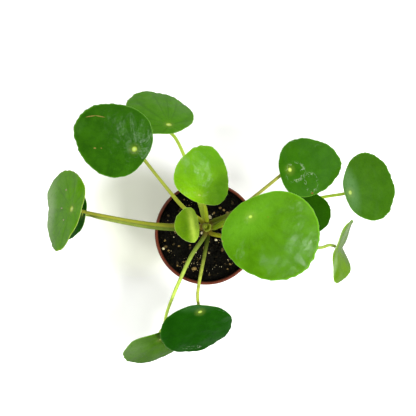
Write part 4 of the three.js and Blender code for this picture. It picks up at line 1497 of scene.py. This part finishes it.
def floor_material(settings):
    """Pale floor that glows for the camera alone, with a painted shadow beside the pot where the glow is left
    out and the colour is tinted.
    """
    shader = Shader("pale_floor", {"Roughness": 0.9, "Emission Color": (1, 1, 1)})
    from_shadow = shader.vector("DISTANCE", shader.place(), SHADOW_MIDDLE * MM)
    # Painted shadow: the floor glows outside a fixed place beside the pot, and stays dim and tinted inside
    # it.
    lit = shader.step(from_shadow, SHADOW_CORE * MM, SHADOW_REACH * MM)
    rays = shader.node("ShaderNodeLightPath", {}).outputs
    shader.set({"Emission Strength": shader.times(lit, settings.floor_glow, rays["Is Camera Ray"])})
    tone = shader.mix(lit, settings.shadow_tint, settings.floor)
    mirrored = shaded(settings.floor, MIRRORED_FLOOR)
    shader.set({"Base Color": shader.mix(rays["Is Glossy Ray"], tone, mirrored)})
    return shader.material


def add_floor(settings):
    bm = bmesh.new()
    bmesh.ops.create_grid(bm, x_segments=1, y_segments=1, size=FLOOR_REACH)
    mesh = bpy.data.meshes.new("floor")
    bm.to_mesh(mesh)
    bm.free()
    mesh.materials.append(floor_material(settings))
    floor = bpy.data.objects.new("floor", mesh)
    bpy.context.collection.objects.link(floor)


def add_camera():
    """A camera that looks straight down on the plant."""
    data = bpy.data.cameras.new("camera")
    data.sensor_width = 36
    data.lens = data.sensor_width / 2 / math.tan(math.radians(CAMERA_VIEW_ANGLE / 2))
    data.clip_start = 0.01
    camera = bpy.data.objects.new("camera", data)
    camera.location = CAMERA_PLACE * MM
    bpy.context.collection.objects.link(camera)
    bpy.context.scene.camera = camera


class PILEA_OT_add_stage(bpy.types.Operator):
    """Add the pale floor, the two main lamps, the weak ones, the surroundings and the camera"""

    bl_idname = "pilea.add_stage"
    bl_label = "Stage"

    def execute(self, context):
        settings = context.scene.pilea_stage
        add_floor(settings)
        add_lamp("right_lamp", *RIGHT_LAMP_WAY, settings.right_lamp, settings.lamp_width, False, settings)
        add_lamp("left_lamp", *LEFT_LAMP_WAY, settings.left_lamp, settings.lamp_width, False, settings)
        for name, compass, height, power, width in GLINTS:
            add_lamp(name, compass, height, power, width, True, settings)
        add_surroundings(settings.sky)
        add_camera()
        context.scene.view_settings.view_transform = "Standard"
        return {"FINISHED"}


class PILEA_PT_panel(bpy.types.Panel):
    """The steps that build the plant, in their order"""

    bl_idname = "PILEA_PT_panel"
    bl_label = "Potted Pilea"
    bl_space_type = "VIEW_3D"
    bl_region_type = "UI"
    bl_category = "Pilea"

    def draw(self, context):
        for operator in OPERATORS:
            self.layout.operator(operator.bl_idname)


SETTINGS = {
    "pilea_pot": PotSettings,
    "pilea_soil": SoilSettings,
    "pilea_crown": CrownSettings,
    "pilea_leaf": LeafSettings,
    "pilea_stage": StageSettings,
}
OPERATORS = (
    PILEA_OT_add_pot,
    PILEA_OT_add_soil,
    PILEA_OT_add_grit,
    PILEA_OT_add_stem,
    PILEA_OT_add_growing_tip,
    PILEA_OT_add_stalks,
    PILEA_OT_add_leaves,
    PILEA_OT_add_stage,
)


def register():
    for item in (*SETTINGS.values(), *OPERATORS, PILEA_PT_panel):
        bpy.utils.register_class(item)
    for name, group in SETTINGS.items():
        setattr(bpy.types.Scene, name, PointerProperty(type=group))


def unregister():
    for name in SETTINGS:
        delattr(bpy.types.Scene, name)
    for item in (PILEA_PT_panel, *reversed(OPERATORS), *SETTINGS.values()):
        bpy.utils.unregister_class(item)


def main():
    register()
    bpy.ops.pilea.add_pot()
    bpy.ops.pilea.add_soil()
    bpy.ops.pilea.add_grit()
    bpy.ops.pilea.add_stem()
    bpy.ops.pilea.add_growing_tip()
    bpy.ops.pilea.add_stalks()
    bpy.ops.pilea.add_leaves()
    bpy.ops.pilea.add_stage()


if __name__ == "__main__":
    main()
